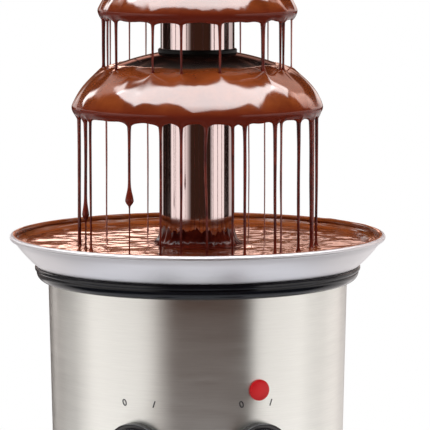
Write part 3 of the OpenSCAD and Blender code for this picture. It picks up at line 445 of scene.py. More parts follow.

# %% [markdown]
# ## Chocolate
# Melted chocolate is a glossy dark brown liquid. Its surface reflects more than plain plastic because the
# fat lies on top, so the gloss is a coat layer with a high index of refraction over a dull base. The colour
# drifts a little. Two attributes, painted on the vertices by the cells that make the shapes, say where the
# liquid is thin and where it is a dull hem. The hem's colour is painted shade under the coats' rolled
# edges, the film's own colour on the pool, and painted light passing through thin threads.

# %% Chocolate finish
# The default hem colour, a dark maroon, is painted shade under the coats' rolled edges.
def chocolate(name, dark, light, roughness, ior, grain, gloss=1.0, dull=(0.115, 0.015, 0.007, 1)):
    """Liquid chocolate, paler where it is thin, and of a dull colour without gloss along its hems, which is
    painted shade on the coats and painted light through thin threads.
    """
    material, wire = blank_material(name)
    place = wire.node("ShaderNodeTexCoord", out="Object")
    swirl = speckle(wire, place, grain, 3.0, 0.55)
    fine = speckle(wire, place, grain * 9, 2.0)
    hem = wire.node("ShaderNodeAttribute", out="Fac", attribute_name="hem")
    thin = wire.node("ShaderNodeAttribute", out="Fac", attribute_name="thin")
    base = mix_colour(wire, swirl.smooth(0.3, 0.7), dark, light)
    base = mix_colour(wire, hem, base, dull)
    base = mix_colour(wire, thin, base, (0.34, 0.22, 0.12, 1))
    normal = wire.node("ShaderNodeBump", sockets={"Strength": 0.04, "Distance": 0.0006, "Height": fine})
    shade(wire, {"Base Color": base, "Roughness": 0.12 + swirl * 0.08, "IOR": 1.2, "Normal": normal,
                 "Coat Weight": gloss * (1 - hem), "Coat IOR": ior, "Coat Roughness": roughness})
    return material


# The coats keep the default hem colour, painted shade under the rolled edge.
coat_chocolate = chocolate(
    "coat_chocolate", (0.150, 0.028, 0.006, 1), (0.235, 0.050, 0.011, 1), 0.09, 2.0, 60.0)
# Thin threads take the pale dull colour, painted light passing through them.
thread_chocolate = chocolate(
    "thread_chocolate", (0.055, 0.004, 0.003, 1), (0.16, 0.020, 0.010, 1), 0.12, 1.6, 90.0, gloss=0.25,
    dull=(0.52, 0.23, 0.20, 1))
pool_chocolate = chocolate(
    "pool_chocolate", (0.12, 0.020, 0.004, 1), (0.26, 0.062, 0.016, 1), 0.08, 1.8, 45.0,
    dull=(0.25, 0.058, 0.012, 1))
print("3 chocolate finishes")

# %% [markdown]
# ## Dress the CAD nodes
# Every node keeps its solid and takes the finish of its slot in the record. Nodes that show their curves up
# close get a copy whose triangles are merged, so that light runs smoothly over them, and the copy stands
# for the node.

# %% Finishes of the nodes
SLOT_OF = {entry["node"]: entry["material_slot"] for entry in frame["record"]["subparts"]}
for name, node in frame["nodes"].items():
    node.data.materials.clear()
    node.data.materials.append(FINISHES[SLOT_OF[name]])
print(len(SLOT_OF), "nodes dressed from", len(FINISHES), "finishes")


# %% Placing a piece
def place(bm, name, material, body, slot=None, stands_for=(), sharp=35):
    """Makes a smooth-shaded piece of a bmesh, with creases above an angle, and lets it ride on a body."""
    for face in bm.faces:
        face.smooth = True
    for edge in bm.edges:
        if len(edge.link_faces) == 2:
            edge.smooth = edge.calc_face_angle(0) < radians(sharp)
    mesh = bpy.data.meshes.new(name)
    bm.to_mesh(mesh)
    bm.free()
    mesh.materials.append(material)
    piece = bpy.data.objects.new(name, mesh)
    scene.collection.objects.link(piece)
    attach(piece, body)
    if stands_for:
        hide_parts(*stands_for)
    print(name, len(mesh.polygons), "faces")


BODY_OF = {}
for body_name, members in frame["record"]["behaviour"]["bodies"].items():
    for member in members:
        BODY_OF[member] = body_name


def smooth_copy(node, sharp=25):
    """A merged copy of a CAD node that shades smoothly."""
    bm = bmesh.new()
    bm.from_mesh(frame["nodes"][node].data)
    bmesh.ops.remove_doubles(bm, verts=bm.verts, dist=1e-6)
    slot = SLOT_OF[node]
    place(bm, node + "_smooth", FINISHES[slot], BODY_OF[node], slot, (node,), sharp)


SMOOTHED = ["body_shell", "top_ring", "base_pan", "motor_knob", "heat_knob", "lamp_lens", "cord_gland",
            "lower_tier_collar", "upper_tier_collar", "lower_tier_stop", "upper_tier_stop", "rubber_feet"]
for name in SMOOTHED:
    smooth_copy(name)

# %% [markdown]
# ## Dial marks
# Each knob has a printed mark for off and one for on above it. A texture could carry them, but text objects
# stay sharp at any size. They are turned into a mesh, and then each vertex is laid on the housing, which is
# a cone, so that the print follows its curve.

# %% Dial marks
SLEEVE_FOOT_R = 92.5 * MM
SLEEVE_FOOT_Z = 16 * MM
SLEEVE_LEAN = 3 / 136
MARK_ACROSS = 9.8 * MM
MARK_UP = 30.4 * MM


def round_axis(radius, height, angle):
    """A point round the Z axis. Angles count from the front towards the right."""
    return radius * sin(angle), -radius * cos(angle), height


def numeral(bm, digit, knob, across, up):
    """Adds a numeral at a distance across and up from a knob's centre, 0.05 mm proud of the housing."""
    curve = bpy.data.curves.new("numeral", "FONT")
    curve.body = digit
    curve.size = 6 * MM
    curve.align_x = "CENTER"
    curve.align_y = "CENTER"
    curve.extrude = 0.05 * MM
    curve.offset = 0.12 * MM
    words = bpy.data.objects.new("numeral", curve)
    part = bmesh.new()
    part.from_mesh(words.to_mesh())
    low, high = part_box(knob)
    centre = (low + high) / 2
    facing = atan2(centre.x, -centre.y)
    lean = Matrix.Rotation(-atan2(across, up), 3, "Z")
    for vert in part.verts:
        vert.co = lean @ vert.co
        height = centre.z + up + vert.co.y
        radius = SLEEVE_FOOT_R + (height - SLEEVE_FOOT_Z) * SLEEVE_LEAN
        vert.co = round_axis(radius + vert.co.z, height, facing + (across + vert.co.x) / radius)
    flat = bpy.data.meshes.new("numeral")
    part.to_mesh(flat)
    part.free()
    bm.from_mesh(flat)
    bpy.data.objects.remove(words)


bm = bmesh.new()
for knob in ("motor_knob", "heat_knob"):
    numeral(bm, "0", knob, -MARK_ACROSS, MARK_UP)
    numeral(bm, "1", knob, MARK_ACROSS, MARK_UP)
bmesh.ops.remove_doubles(bm, verts=bm.verts, dist=1e-6)
print_ink = finish("dial_print", (0.045, 0.045, 0.05), 0.5, bump=0.05)
place(bm, "dial_marks", print_ink, "base")

# %% [markdown]
# ## Spun steel
# The bowl, the tiers, the tube and the crown are spun from sheet, and a mirror shows every facet. So each
# gets a new mesh: its section is drawn as arcs in a few points, and a grid with that section is rolled
# round the axis in fine steps. A Screw modifier would do the same for steel, but the rolled grid also makes
# the chocolate, whose section changes with the angle.

# %% Turning a section
def on_arc(centre, radius, angle):
    """A point on a circle in a section, at an angle in degrees."""
    turn = radians(angle)
    return centre[0] + radius * cos(turn), centre[1] + radius * sin(turn)


def arc(centre, radius, start, end, steps):
    """Points of an arc in a section, with angles in degrees."""
    return [on_arc(centre, radius, start + (end - start) * i / steps) for i in range(steps + 1)]


def bead_join(wall, bead, radius):
    """Angles in degrees where a sheet meets its rolled edge: round the bead, and along the sheet's arc."""
    meet = acos(wall / 2 / bead)
    return degrees(meet), degrees(atan2(bead * sin(meet), radius))


def rolled(bm, count, steps, closed, spot, mark=None):
    """Adds a grid rolled into a tube, with count stations along its section and steps round it.

    Each vertex goes to spot(station, angle), and mark(vertex, station) may paint its attributes.
    """
    across = count if closed else count - 1
    made = bmesh.ops.create_grid(bm, x_segments=across, y_segments=steps, size=1)["verts"]
    for vert in made:
        station = round((vert.co.x + 1) / 2 * across) % count
        angle = round((vert.co.y + 1) / 2 * steps) % steps * tau / steps
        vert.co = spot(station, angle)
        if mark:
            mark(vert, station)
    bmesh.ops.remove_doubles(bm, verts=made, dist=1e-7)


def turned(section, steps=288):
    """A steel piece turned from a closed section of (radius, height) points."""
    bm = bmesh.new()
    rolled(bm, len(section), steps, True, lambda i, angle: round_axis(*section[i], angle))
    bmesh.ops.recalc_face_normals(bm, faces=bm.faces)
    return bm


print("turning ready")

# %% [markdown]
# ## Bowl
# The bowl is a flat floor that runs into one long arc and ends in a rolled rim. Smoothing the CAD mesh
# would leave its facets in the outline, so the section is drawn again from the node's box and the same
# arcs, and the new mesh lies where the solid is.

# %% Bowl
bowl_low, bowl_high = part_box("bowl")
BOWL_WALL = 1 * MM
RIM_BEAD = 1.8 * MM
FLOOR_R = 43 * MM
SHAFT_COLLAR_R = 6.3 * MM
SHAFT_COLLAR_H = 14 * MM
rim_r, rim_z, bowl_z = bowl_high.x, bowl_high.z, bowl_low.z
wall_run = rim_r - RIM_BEAD - FLOOR_R
wall_rise = rim_z - bowl_z - RIM_BEAD - BOWL_WALL / 2
wall_r = (wall_run ** 2 + wall_rise ** 2) / (2 * wall_rise)
wall_end = degrees(atan2(wall_rise - wall_r, wall_run))
wall_centre = (FLOOR_R, bowl_z + wall_r + BOWL_WALL / 2)
bead_centre = (rim_r - RIM_BEAD, rim_z - RIM_BEAD)
meet, meet_turn = bead_join(BOWL_WALL, RIM_BEAD, wall_r)
bowl_floor_z = bowl_z + BOWL_WALL
bowl_section = [(SHAFT_COLLAR_R, bowl_z)]
bowl_section += arc(wall_centre, wall_r + BOWL_WALL / 2, -90, wall_end - meet_turn, 40)
bowl_section += arc(bead_centre, RIM_BEAD, wall_end - meet, wall_end + 180 + meet, 18)
bowl_section += arc(wall_centre, wall_r - BOWL_WALL / 2, wall_end - meet_turn, -90, 40)
bowl_section += [(SHAFT_COLLAR_R + BOWL_WALL, bowl_floor_z),
                 (SHAFT_COLLAR_R + BOWL_WALL, bowl_floor_z + SHAFT_COLLAR_H),
                 (SHAFT_COLLAR_R, bowl_floor_z + SHAFT_COLLAR_H)]
place(turned(bowl_section), "bowl_dish", FINISHES["bowl_steel"], "base", "bowl_steel", ("bowl",))
print("rim across in mm", mm(2 * rim_r))

# %% [markdown]
# ## Tiers, tube and crown
# A tier is a shallow dome that turns down in a rounder shoulder to a rolled edge, with a neck inside that
# slips over the tube. The two tiers differ only in size, so one class draws both sections, and it also says
# where the upper face is, which the coats need later.

# %% Arcs of a tier
TIER_WALL = 1 * MM
TIER_BEAD = 2.4 * MM
EDGE_ANGLE = 20
NECK_R = 23.6 * MM
NECK_H = 6 * MM


class Tier:
    """The arcs of a tier's middle sheet, from the CAD node's box, its rise and its shoulder."""

    def __init__(self, node, rise, shoulder):
        low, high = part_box(node)
        self.edge_z = low.z + TIER_BEAD
        self.bead = (high.x - TIER_BEAD, self.edge_z)
        self.shoulder = shoulder
        self.shoulder_at = on_arc(self.bead, -shoulder, EDGE_ANGLE)
        drop = rise - shoulder
        at_x, at_z = self.shoulder_at[0], self.shoulder_at[1] - self.edge_z
        centre_z = (drop ** 2 - at_x ** 2 - at_z ** 2) / (2 * (drop - at_z))
        self.dome_at = (0.0, self.edge_z + centre_z)
        self.dome = rise - centre_z
        self.join = degrees(atan2(self.shoulder_at[1] - self.dome_at[1], self.shoulder_at[0]))
        self.outer_dome = self.dome + TIER_WALL / 2
        self.outer_shoulder = shoulder + TIER_WALL / 2

    def top(self, radius):
        """Height of the dome's upper face at a radius."""
        if degrees(acos(radius / self.outer_dome)) >= self.join:
            return self.dome_at[1] + sqrt(self.outer_dome ** 2 - radius ** 2)
        out = radius - self.shoulder_at[0]
        return self.shoulder_at[1] + sqrt(self.outer_shoulder ** 2 - out ** 2)

    def way(self, start_r, share):
        """Arc and angle on the upper face, a share of the way from a radius to the rolled edge."""
        start = acos(start_r / self.outer_dome)
        turn = radians(self.join)
        dome_run = max(0.0, start - turn) * self.outer_dome
        if not dome_run:
            turn = acos((start_r - self.shoulder_at[0]) / self.outer_shoulder)
        run = share * (dome_run + (turn - radians(EDGE_ANGLE)) * self.outer_shoulder)
        if run < dome_run:
            return self.dome_at, self.outer_dome, start - run / self.outer_dome
        return self.shoulder_at, self.outer_shoulder, turn - (run - dome_run) / self.outer_shoulder

    def section(self):
        """The closed outline of the sheet, its rolled edge and its neck."""
        half = TIER_WALL / 2
        meet, meet_turn = bead_join(TIER_WALL, TIER_BEAD, self.shoulder)
        neck_z = self.top(NECK_R) - TIER_WALL - NECK_H
        start = degrees(acos(NECK_R / (self.dome + half)))
        end = degrees(acos((NECK_R + TIER_WALL) / (self.dome - half)))
        points = arc(self.dome_at, self.dome + half, start, self.join, 20)
        points += arc(self.shoulder_at, self.shoulder + half, self.join, EDGE_ANGLE + meet_turn, 20)[1:]
        points += arc(self.bead, TIER_BEAD, EDGE_ANGLE + meet, EDGE_ANGLE - 180 - meet, 20)
        points += arc(self.shoulder_at, self.shoulder - half, EDGE_ANGLE + meet_turn, self.join, 20)
        points += arc(self.dome_at, self.dome - half, self.join, end, 20)[1:]
        return points + [(NECK_R + TIER_WALL, neck_z), (NECK_R, neck_z)]


print("thickness of the tiers' sheet in mm", mm(TIER_WALL))

# %% Tiers
lower = Tier("lower_tier", 36 * MM, 46 * MM)
upper = Tier("upper_tier", 30 * MM, 37 * MM)
for tier, name in ((lower, "lower_tier"), (upper, "upper_tier")):
    place(turned(tier.section()), name + "_dome", filmed_tier, "tower", "tower_steel", (name,))
    print("edge at a height in mm of", mm(tier.edge_z))

# %% Tube
TUBE_WALL = 0.8 * MM
EASE = 0.2 * MM


def polished(section, name, node):
    """A mirror-smooth piece of the tower that stands for a CAD node."""
    place(turned(section), name, FINISHES["tower_steel"], "tower", "tower_steel", (node,))


tube_low, tube_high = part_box("tower_tube")
tube_r, tube_inner = tube_high.x, tube_high.x - TUBE_WALL
tube_section = [(tube_inner, tube_low.z + EASE), (tube_inner + EASE, tube_low.z),
                (tube_r - EASE, tube_low.z), (tube_r, tube_low.z + EASE),
                (tube_r, tube_high.z - EASE), (tube_r - EASE, tube_high.z),
                (tube_inner + EASE, tube_high.z), (tube_inner, tube_high.z - EASE)]
polished(tube_section, "tower_tube_sheet", "tower_tube")
print("length of the tube in mm", mm(tube_high.z - tube_low.z))

# %% Crown
CROWN_FLARE = 14 * MM
CROWN_WALL = 1.4 * MM
CROWN_STOP = 50
CROWN_SLEEVE = 12 * MM
CROWN_FIT = 0.1 * MM
tube_top = tube_high.z
flare_centre = (tube_inner + CROWN_FLARE, tube_top + CROWN_WALL)
lip = CROWN_WALL / 2
lip_centre = on_arc(flare_centre, CROWN_FLARE - lip, CROWN_STOP)
sleeve_in = tube_r + CROWN_FIT
sleeve_out = sleeve_in + CROWN_WALL
inner_flare = CROWN_FLARE - CROWN_WALL
sleeve_meet = degrees(acos((flare_centre[0] - sleeve_out) / inner_flare))
crown_section = [(tube_inner, tube_top)]
crown_section += arc(flare_centre, CROWN_FLARE, 180, CROWN_STOP, 36)
crown_section += arc(lip_centre, lip, CROWN_STOP - 20, CROWN_STOP - 160, 8)
crown_section += arc(flare_centre, inner_flare, CROWN_STOP, 180 - sleeve_meet, 30)
crown_section += [(sleeve_out, tube_top - CROWN_SLEEVE), (sleeve_in, tube_top - CROWN_SLEEVE),
                  (sleeve_in, tube_top)]
polished(crown_section, "crown_mouth", "crown")
print("crown's lip across in mm", mm(2 * lip_centre[0]))

# %% [markdown]
# ## Where the chocolate falls
# Each thread of chocolate hangs from an edge at an angle round the axis, measured from the front. A thread
# has a radius, sways a little, and may carry a drop on its way down. The coat above is pulled into a funnel
# wherever a thread starts. Random places would look even, so the threads are given lists, and the
# same lists drive the coats and the threads.

# %% Threads
# Angle from the front in degrees, then the radius, the depth of the funnel and the sway in mm. A thread with
# a drop adds its share of the way down and the drop's radius in mm.
LOWER_THREADS = [
    (-78.8, 1.0, 8, 0.3), (-67.6, 1.2, 10, 0.5, 0.75, 2.6), (-61.7, 0.9, 6, 0.3),
    (-33.6, 1.0, 9, 0.2, 0.6, 3.0),
    (-17.4, 0.9, 9, 0.3), (-7.6, 1.0, 9, 0.3), (4.1, 1.0, 10, 1.4), (16.4, 0.9, 8, 0.3),
    (22.4, 1.1, 9, 0.4), (39.0, 1.2, 10, 0.4), (42.9, 0.8, 6, 0.3), (55.8, 1.2, 9, 0.3),
    (69.7, 1.4, 11, 0.5), (82.1, 1.1, 7, 0.4), (102.0, 0.7, 7, 0.3), (119.8, 0.6, 6, 0.3),
    (144.5, 0.55, 5, 0.2), (153.6, 0.5, 6, 0.2), (173.0, 0.6, 8, 0.4), (192.0, 0.5, 6, 0.3),
    (205.6, 0.6, 5, 0.2), (231.5, 0.65, 4, 0.2), (252.0, 0.6, 7, 0.3), (268.0, 0.8, 8, 0.4),
]
UPPER_THREADS = [
    (-88.0, 1.3, 6, 0.3), (-71.4, 0.8, 4, 0.3), (-58.6, 1.0, 5, 0.2), (-27.6, 1.0, 6, 0.2),
    (-9.7, 0.9, 6, 0.2), (13.3, 1.0, 6, 0.2), (43.0, 1.5, 8, 0.2), (60.4, 0.9, 5, 0.3),
    (64.5, 1.0, 5, 0.3), (88.0, 0.6, 4, 0.3), (112.0, 0.5, 5, 0.3), (130.0, 0.5, 4, 0.3),
    (152.1, 0.6, 4, 0.2), (176.0, 0.7, 6, 0.3), (196.0, 0.5, 4, 0.2), (214.3, 0.6, 4, 0.2),
    (227.7, 0.6, 3, 0.2), (250.0, 0.6, 5, 0.3),
]
CROWN_THREADS = [
    (-70.0, 1.0, 4, 0.2), (-38.0, 1.2, 5, 0.2), (-6.0, 0.9, 4, 0.2), (24.0, 1.1, 5, 0.2),
    (58.0, 1.3, 5, 0.2), (95.0, 0.9, 4, 0.2), (131.0, 1.1, 5, 0.2), (168.0, 1.0, 4, 0.2),
    (204.0, 1.2, 5, 0.2), (247.0, 0.9, 4, 0.2),
]
print(len(LOWER_THREADS), len(UPPER_THREADS), len(CROWN_THREADS), "threads")


# %% Angles and gentle noise
def angle_gap(a, b):
    """Difference of two angles in radians, between -pi and pi."""
    return (a - b + pi) % tau - pi


def clamp(value):
    """A value kept between 0 and 1."""
    return min(1.0, max(0.0, value))


def ring_noise(angle, waves, seed, along=0.0):
    """Smooth noise between about -1 and 1 that closes round the axis."""
    spot = Vector((cos(angle) * waves / 3, sin(angle) * waves / 3, seed * 7.3 + along))
    return noise.noise(spot)


def funnel_depth(angle, threads, radius):
    """How far the hem is pulled down at an angle, in metres, by the threads that hang from it."""
    depth = 0.0
    for turn_deg, thread_r, pull, *_ in threads:
        arc_gap = abs(angle_gap(angle, radians(turn_deg))) * radius
        width = (0.9 + 1.1 * thread_r) * MM
        depth = max(depth, 0.45 * pull * MM * exp(-arc_gap / width))
    return depth


def hem_shape(turn, depth):
    """How far a point at a turn round an edge hangs, from 0 to 1, and how a funnel's depth narrows it."""
    down = max(0.0, -sin(turn))
    return down ** 1.6, 1 - 0.6 * down ** 2 * depth / (depth + 3 * MM)


# Angle in radians beyond which a mound is too low to matter, and its shape down the slope against across it
MOUND_NEAR = 0.5
MOUND_LONG = 0.8


def mound(angle, radius, landings, height, width):
    """Height of the little cones where threads land."""
    rise = 0.0
    for turn_deg, land_r, share in landings:
        gap = angle_gap(angle, radians(turn_deg))
        if abs(gap) < MOUND_NEAR:
            span = hypot(gap * land_r, (radius - land_r) * MOUND_LONG)
            rise = max(rise, share * height * exp(-span / width))
    return rise


print("helpers ready")

# %% [markdown]
# ## Liquid
# Coats and pool are closed skins, rolled round the axis like the steel, but with a section that changes
# with the angle. A section is a list of stations, each with the kind of place it is on and how far along it
# lies, so that one function can give the radius and height of every vertex, and another its two attributes.

# %% Liquid skins
def run(kind, start, end, steps):
    """Stations of one kind, evenly spaced from one value to another."""
    return [(kind, start + (end - start) * i / steps) for i in range(steps + 1)]


def skin_of(stations, spot, steps, closed, mark=None):
    """A mesh with each vertex at the radius and height of spot(kind, t, angle).

    Where there is a mark, mark(kind, t, point) gives the vertex's hem and thin attributes.
    """
    bm = bmesh.new()
    hem = bm.verts.layers.float.new("hem")
    thin = bm.verts.layers.float.new("thin")

    def paint(vert, i):
        vert[hem], vert[thin] = mark(*stations[i], vert.co)

    rolled(bm, len(stations), steps, closed,
           lambda i, angle: round_axis(*spot(*stations[i], angle), angle), paint if mark else None)
    return bm


def pour(bm, name, material, body, sharp=60):
    """Places a piece of chocolate with its faces turned outwards. It stands for no node and has no slot."""
    bmesh.ops.recalc_face_normals(bm, faces=bm.faces)
    place(bm, name, material, body, sharp=sharp)


print("liquid skins ready")

# %% [markdown]
# ## Coats on the tiers
# The coat is a sheet of liquid. It starts thin on the dome, swells to about 3.5 mm on its way down, wraps
# the rolled edge in one smooth turn and hangs below it in a hem. Its stations run down the dome, round the
# edge and back underneath. Each vertex stands off the steel by the coat's thickness, which ripples, and at
# the hem it hangs lower where a thread pulls. Sculpting could do this by hand, but not repeatably.

# %% Coating a tier
SHEET, WRAP, BACK = 44, 30, 8
WRAP_END = -200
COAT_SUNK = 0.15 * MM
COAT_FILM = 0.25 * MM
THIN_END = 0.05
HEM_START = 0.86
MOUND_H = 1.5 * MM
MOUND_R = 3.2 * MM


def coat(name, tier, start_r, thick, hem, threads, landings, seed, steps=600):
    """A coat that starts at a radius on a tier, with a thickness, a hem, and mounds where threads land."""
    stations = run("sheet", 0, 1, SHEET)[:-1] + run("wrap", EDGE_ANGLE, WRAP_END, WRAP)
    stations += run("under wrap", WRAP_END, EDGE_ANGLE, BACK)[:-1] + run("under sheet", 1, 0, BACK)

    def full(share, angle):
        """Thickness of the coat, a share of the way down."""
        ripple = 0.75 * ring_noise(angle, 14, seed, share * 2.6)
        ripple += 0.2 * ring_noise(angle, 30, seed + 3, share * 3)
        return COAT_FILM + (thick - COAT_FILM) * share ** 0.7 + ripple * MM * share ** 0.5

    def wrap_spot(t, angle):
        """Round the rolled edge: the turn tightens behind it, and the lower side hangs."""
        turn = radians(t)
        swell = TIER_WALL / 2 + full(1.0, angle)
        swell += (TIER_BEAD + 0.1 * MM - swell) * max(0.0, (-t - 90) / (-WRAP_END - 90))
        depth = funnel_depth(angle, threads, tier.bead[0])
        lift = ring_noise(angle, 20, seed + 5) * 1.1 * MM
        hang, narrow = hem_shape(turn, depth)
        drop = hang * (hem + lift + depth)
        return tier.bead[0] + swell * cos(turn) * narrow, tier.bead[1] + swell * sin(turn) - drop

    def spot(kind, t, angle):
        """Radius and height of a station at an angle round the axis."""
        if kind == "wrap":
            return wrap_spot(t, angle)
        if kind == "under wrap":
            return on_arc(tier.bead, TIER_BEAD - COAT_SUNK, t)
        wander = (ring_noise(angle, 9, seed + 8) * 1.6 + ring_noise(angle, 30, seed + 9) * 0.6) * MM
        centre, size, turn = tier.way(start_r + wander, t)
        if kind == "under sheet" or t == 0:
            grow = size - COAT_SUNK * (1.0 if kind == "under sheet" else 0.3)
        else:
            rise = mound(angle, centre[0] + size * cos(turn), landings, MOUND_H, MOUND_R)
            grow = size + full(t, angle) + rise
        return on_arc(centre, grow, degrees(turn))

    def mark(kind, t, _):
        """The hem, darker as painted shade under the rolled edge, starts just above it, and the sheet's
        upper end is thin.
        """
        if kind == "sheet":
            return max(0.0, (t - HEM_START) / (1 - HEM_START)) * 0.7, max(0.0, 1 - t / THIN_END)
        return min(1.0, 0.7 + (EDGE_ANGLE - t) / 90), 0.0

    pour(skin_of(stations, spot, steps, True, mark), name, coat_chocolate, "tower")


print("a coat has", SHEET + WRAP + 2 * BACK + 2, "stations")

# %% Coats
lower_landings = [(t[0], upper.bead[0], 0.55 + 0.35 * t[1]) for t in UPPER_THREADS]
upper_landings = [(t[0], lip_centre[0], 0.5) for t in CROWN_THREADS]
coat("lower_coat", lower, 50.5 * MM, 3.5 * MM, 1.2 * MM, LOWER_THREADS, lower_landings, 1)
coat("upper_coat", upper, 37 * MM, 3.4 * MM, 1.0 * MM, UPPER_THREADS, upper_landings, 2)

# %% [markdown]
# ## Crown coat
# At the top the chocolate wells up through the mouth in a low dome, covers the crown's curl and drips from
# its lip. A flattened ball would do from afar, but would not follow the lip, so the cap is rolled like the
# coats, from the axis outwards and back under the lip.

# %% Crown coat
WELL_TOP = flare_centre[1] + CROWN_FLARE
WELL_RISE = 4.6 * MM
CURL_COAT = 0.6 * MM
LIP_COAT = 1.2 * MM
CROWN_RIPPLE = 0.35 * MM
CROWN_HEM = 1.2 * MM
LIP_TURN = 200
WELL, CURL, LIP_WRAP, UNDER = 20, 14, 20, 11
crown_stations = run("well", 0, flare_centre[0], WELL)[:-1] + run("curl", 90, CROWN_STOP, CURL)
crown_stations += run("wrap", CROWN_STOP, CROWN_STOP - LIP_TURN, LIP_WRAP)[1:]
crown_stations += run("under", CROWN_STOP, 180, UNDER) + run("plug", tube_inner - 0.1 * MM, 0, 1)


def crown_spot(kind, t, angle):
    """Radius and height of a station of the cap at an angle round the axis."""
    turn = radians(t)
    if kind == "well":
        out = t / flare_centre[0]
        wave = CROWN_RIPPLE * ring_noise(angle, 7, 31, out * 2) * out
        return t, WELL_TOP + CURL_COAT + WELL_RISE * cos(out * pi / 2) ** 2 + wave
    wave = CROWN_RIPPLE * ring_noise(angle, 7, 31, 2.0)
    if kind == "curl":
        share = (90 - t) / (90 - CROWN_STOP)
        return on_arc(flare_centre, CROWN_FLARE + CURL_COAT + wave + (LIP_COAT - CURL_COAT) * share, t)
    if kind == "wrap":
        swell = lip + LIP_COAT + wave
        depth = funnel_depth(angle, CROWN_THREADS, lip_centre[0])
        hang, narrow = hem_shape(turn, depth)
        radius = lip_centre[0] + swell * cos(turn) * narrow
        return radius, lip_centre[1] + swell * sin(turn) - hang * (CROWN_HEM + depth)
    if kind == "under":
        return on_arc(flare_centre, CROWN_FLARE - COAT_SUNK, t)
    return t, tube_top - 2 * MM


pour(skin_of(crown_stations, crown_spot, 360, False), "crown_coat", coat_chocolate, "tower")

# %% [markdown]
# ## Threads
# A thread is a rolled grid too: a row of small rings that starts inside the funnel and ends where the
# thread lands. Its radius shrinks as the liquid speeds up, widens to a foot at the end, and may carry a
# drop. Thin threads are paler, because light passes through them. Curves with a bevel would be quicker, but
# the rings let the root open into the funnel.

# %% A falling thread
SWAY_WAVE = 38 * MM
SWAY_EASE = 15 * MM
WIDTH_WAVE = 20 * MM
ROOT_R = 1.3 * MM
FOOT_H = 1.1 * MM
DROP_H = 3.2 * MM
PALE_BELOW = 0.85


def hang_thread(bm, thread, radius, top_z, end_z, seed, sides=10, steps=72):
    """Adds a thread that hangs at a radius, from one height to another."""
    turn_deg, thread_r, pull, sway, *drop = thread
    facing = radians(turn_deg)
    length = top_z - end_z
    outward = Vector((sin(facing), -cos(facing), 0))
    along = Vector((cos(facing), sin(facing), 0))
    # Thin threads are paler: painted light passing through them, carried in the hem attribute.
    pale = clamp((PALE_BELOW - thread_r) / 0.2)

    def size_at(share):
        """Radius of the thread, a share of the way down."""
        fall = share * length
        size = thread_r * MM * (1 - 0.3 * share) * (1 + 0.12 * ring_noise(fall / WIDTH_WAVE, 3, seed + 80))
        size += thread_r * 1.1 * MM * exp(-(length - fall) / FOOT_H)
        if drop:
            drop_share, drop_r = drop
            gap = (share - drop_share) * length / DROP_H
            size *= 1 - 0.4 * clamp(gap)
            size += (drop_r - thread_r) * MM * exp(-gap * gap * (3.0 if gap > 0 else 0.25))
        return size

    def spot(i, angle):
        """A point of the thread. Its first and last rings are closed to a tip."""
        share = (min(max(i - 1, 0), steps) / steps) ** 1.5
        fall = share * length
        ease = sway * MM * min(1.0, fall / SWAY_EASE)
        swing = ring_noise(fall / SWAY_WAVE, 3, seed) * ease
        drift = ring_noise(fall / SWAY_WAVE, 3, seed + 40) * ease * 0.7
        root = ROOT_R * exp(-fall / (0.3 * pull * MM))
        size = size_at(share)
        tip = 0.0 if i in (0, steps + 2) else 1.0
        wide = tip * (size + root * 1.5)
        deep = tip * (size + root * 0.35)
        centre = outward * (radius + drift) + along * swing + Vector((0, 0, top_z - fall))
        return centre + along * (sin(angle) * wide) + outward * (cos(angle) * deep)

    # The hem attribute here gives thin threads their pale colour, painted light passing through them.
    def mark(vert, i):
        vert[bm.verts.layers.float["hem"]] = pale

    rolled(bm, steps + 3, sides, False, spot, mark)


print("threads sway over a length in mm of", mm(SWAY_WAVE))


# %% All the threads
def hang_all(name, threads, radius, top_z, end_z, seed):
    """All the threads of one tier as one piece."""
    bm = bmesh.new()
    bm.verts.layers.float.new("hem")
    for i, thread in enumerate(threads):
        hang_thread(bm, thread, radius, top_z, end_z, seed + i)
    pour(bm, name, thread_chocolate, "tower", sharp=80)


POOL_Z = rim_z - 6.5 * MM
ROOT_BELOW_EDGE = 3.4 * MM
lower_land_z = lower.top(upper.bead[0]) + 1.6 * MM
upper_land_z = upper.top(lip_centre[0])
pool_land_z = POOL_Z - 0.4 * MM
hang_all("lower_threads", LOWER_THREADS, lower.bead[0], lower.edge_z - ROOT_BELOW_EDGE, pool_land_z, 100)
hang_all("upper_threads", UPPER_THREADS, upper.bead[0], upper.edge_z - ROOT_BELOW_EDGE, lower_land_z, 200)
hang_all("crown_threads", CROWN_THREADS, lip_centre[0], lip_centre[1] - 0.6 * MM, upper_land_z, 300)

# %% [markdown]
# ## Pool
# The bowl is filled almost to its rim. The pool's face carries rings where the threads fall in, and a low
# swirl. At the wall it climbs as a thin film with an uneven edge, where the level has been higher. A fluid
# simulation could make all this, but slowly and differently each time. Underneath, the piece follows the
# bowl, so that it is a closed body.

# %% Stations of the pool
inner_wall = wall_r - BOWL_WALL / 2
pool_edge = wall_centre[0] + sqrt(inner_wall ** 2 - (POOL_Z - wall_centre[1]) ** 2)
pool_angle = degrees(asin((POOL_Z - wall_centre[1]) / inner_wall))
FACE, FILM, FILM_BACK, WALL = 103, 22, 14, 11
FACE_END = pool_edge - 2.5 * MM
pool_stations = run("face", 0, FACE_END, FACE) + run("film", 0, 1, FILM)[1:]
pool_stations += run("film back", 1, 0, FILM_BACK) + run("wall", pool_angle, -90, WALL)[1:]
pool_stations += run("floor", 20 * MM, 0, 1)
print("pool across in mm", mm(2 * pool_edge), "with", len(pool_stations), "stations")


# %% Face of the pool
def noise_at(x, y, long_x, long_y, seed):
    """Smooth noise over the plane with its lengths along X and Y."""
    return noise.noise(Vector((x / long_x, y / long_y, seed)))


RING_WAVE = 5.5 * MM
RING_FADE = 9 * MM
RING_END = 28 * MM
CONE_R = 1.6 * MM
falls = []
for turn_deg, thread_r, *_ in LOWER_THREADS:
    fall_x, fall_y, _ = round_axis(lower.bead[0], POOL_Z, radians(turn_deg))
    falls.append((fall_x, fall_y, thread_r))


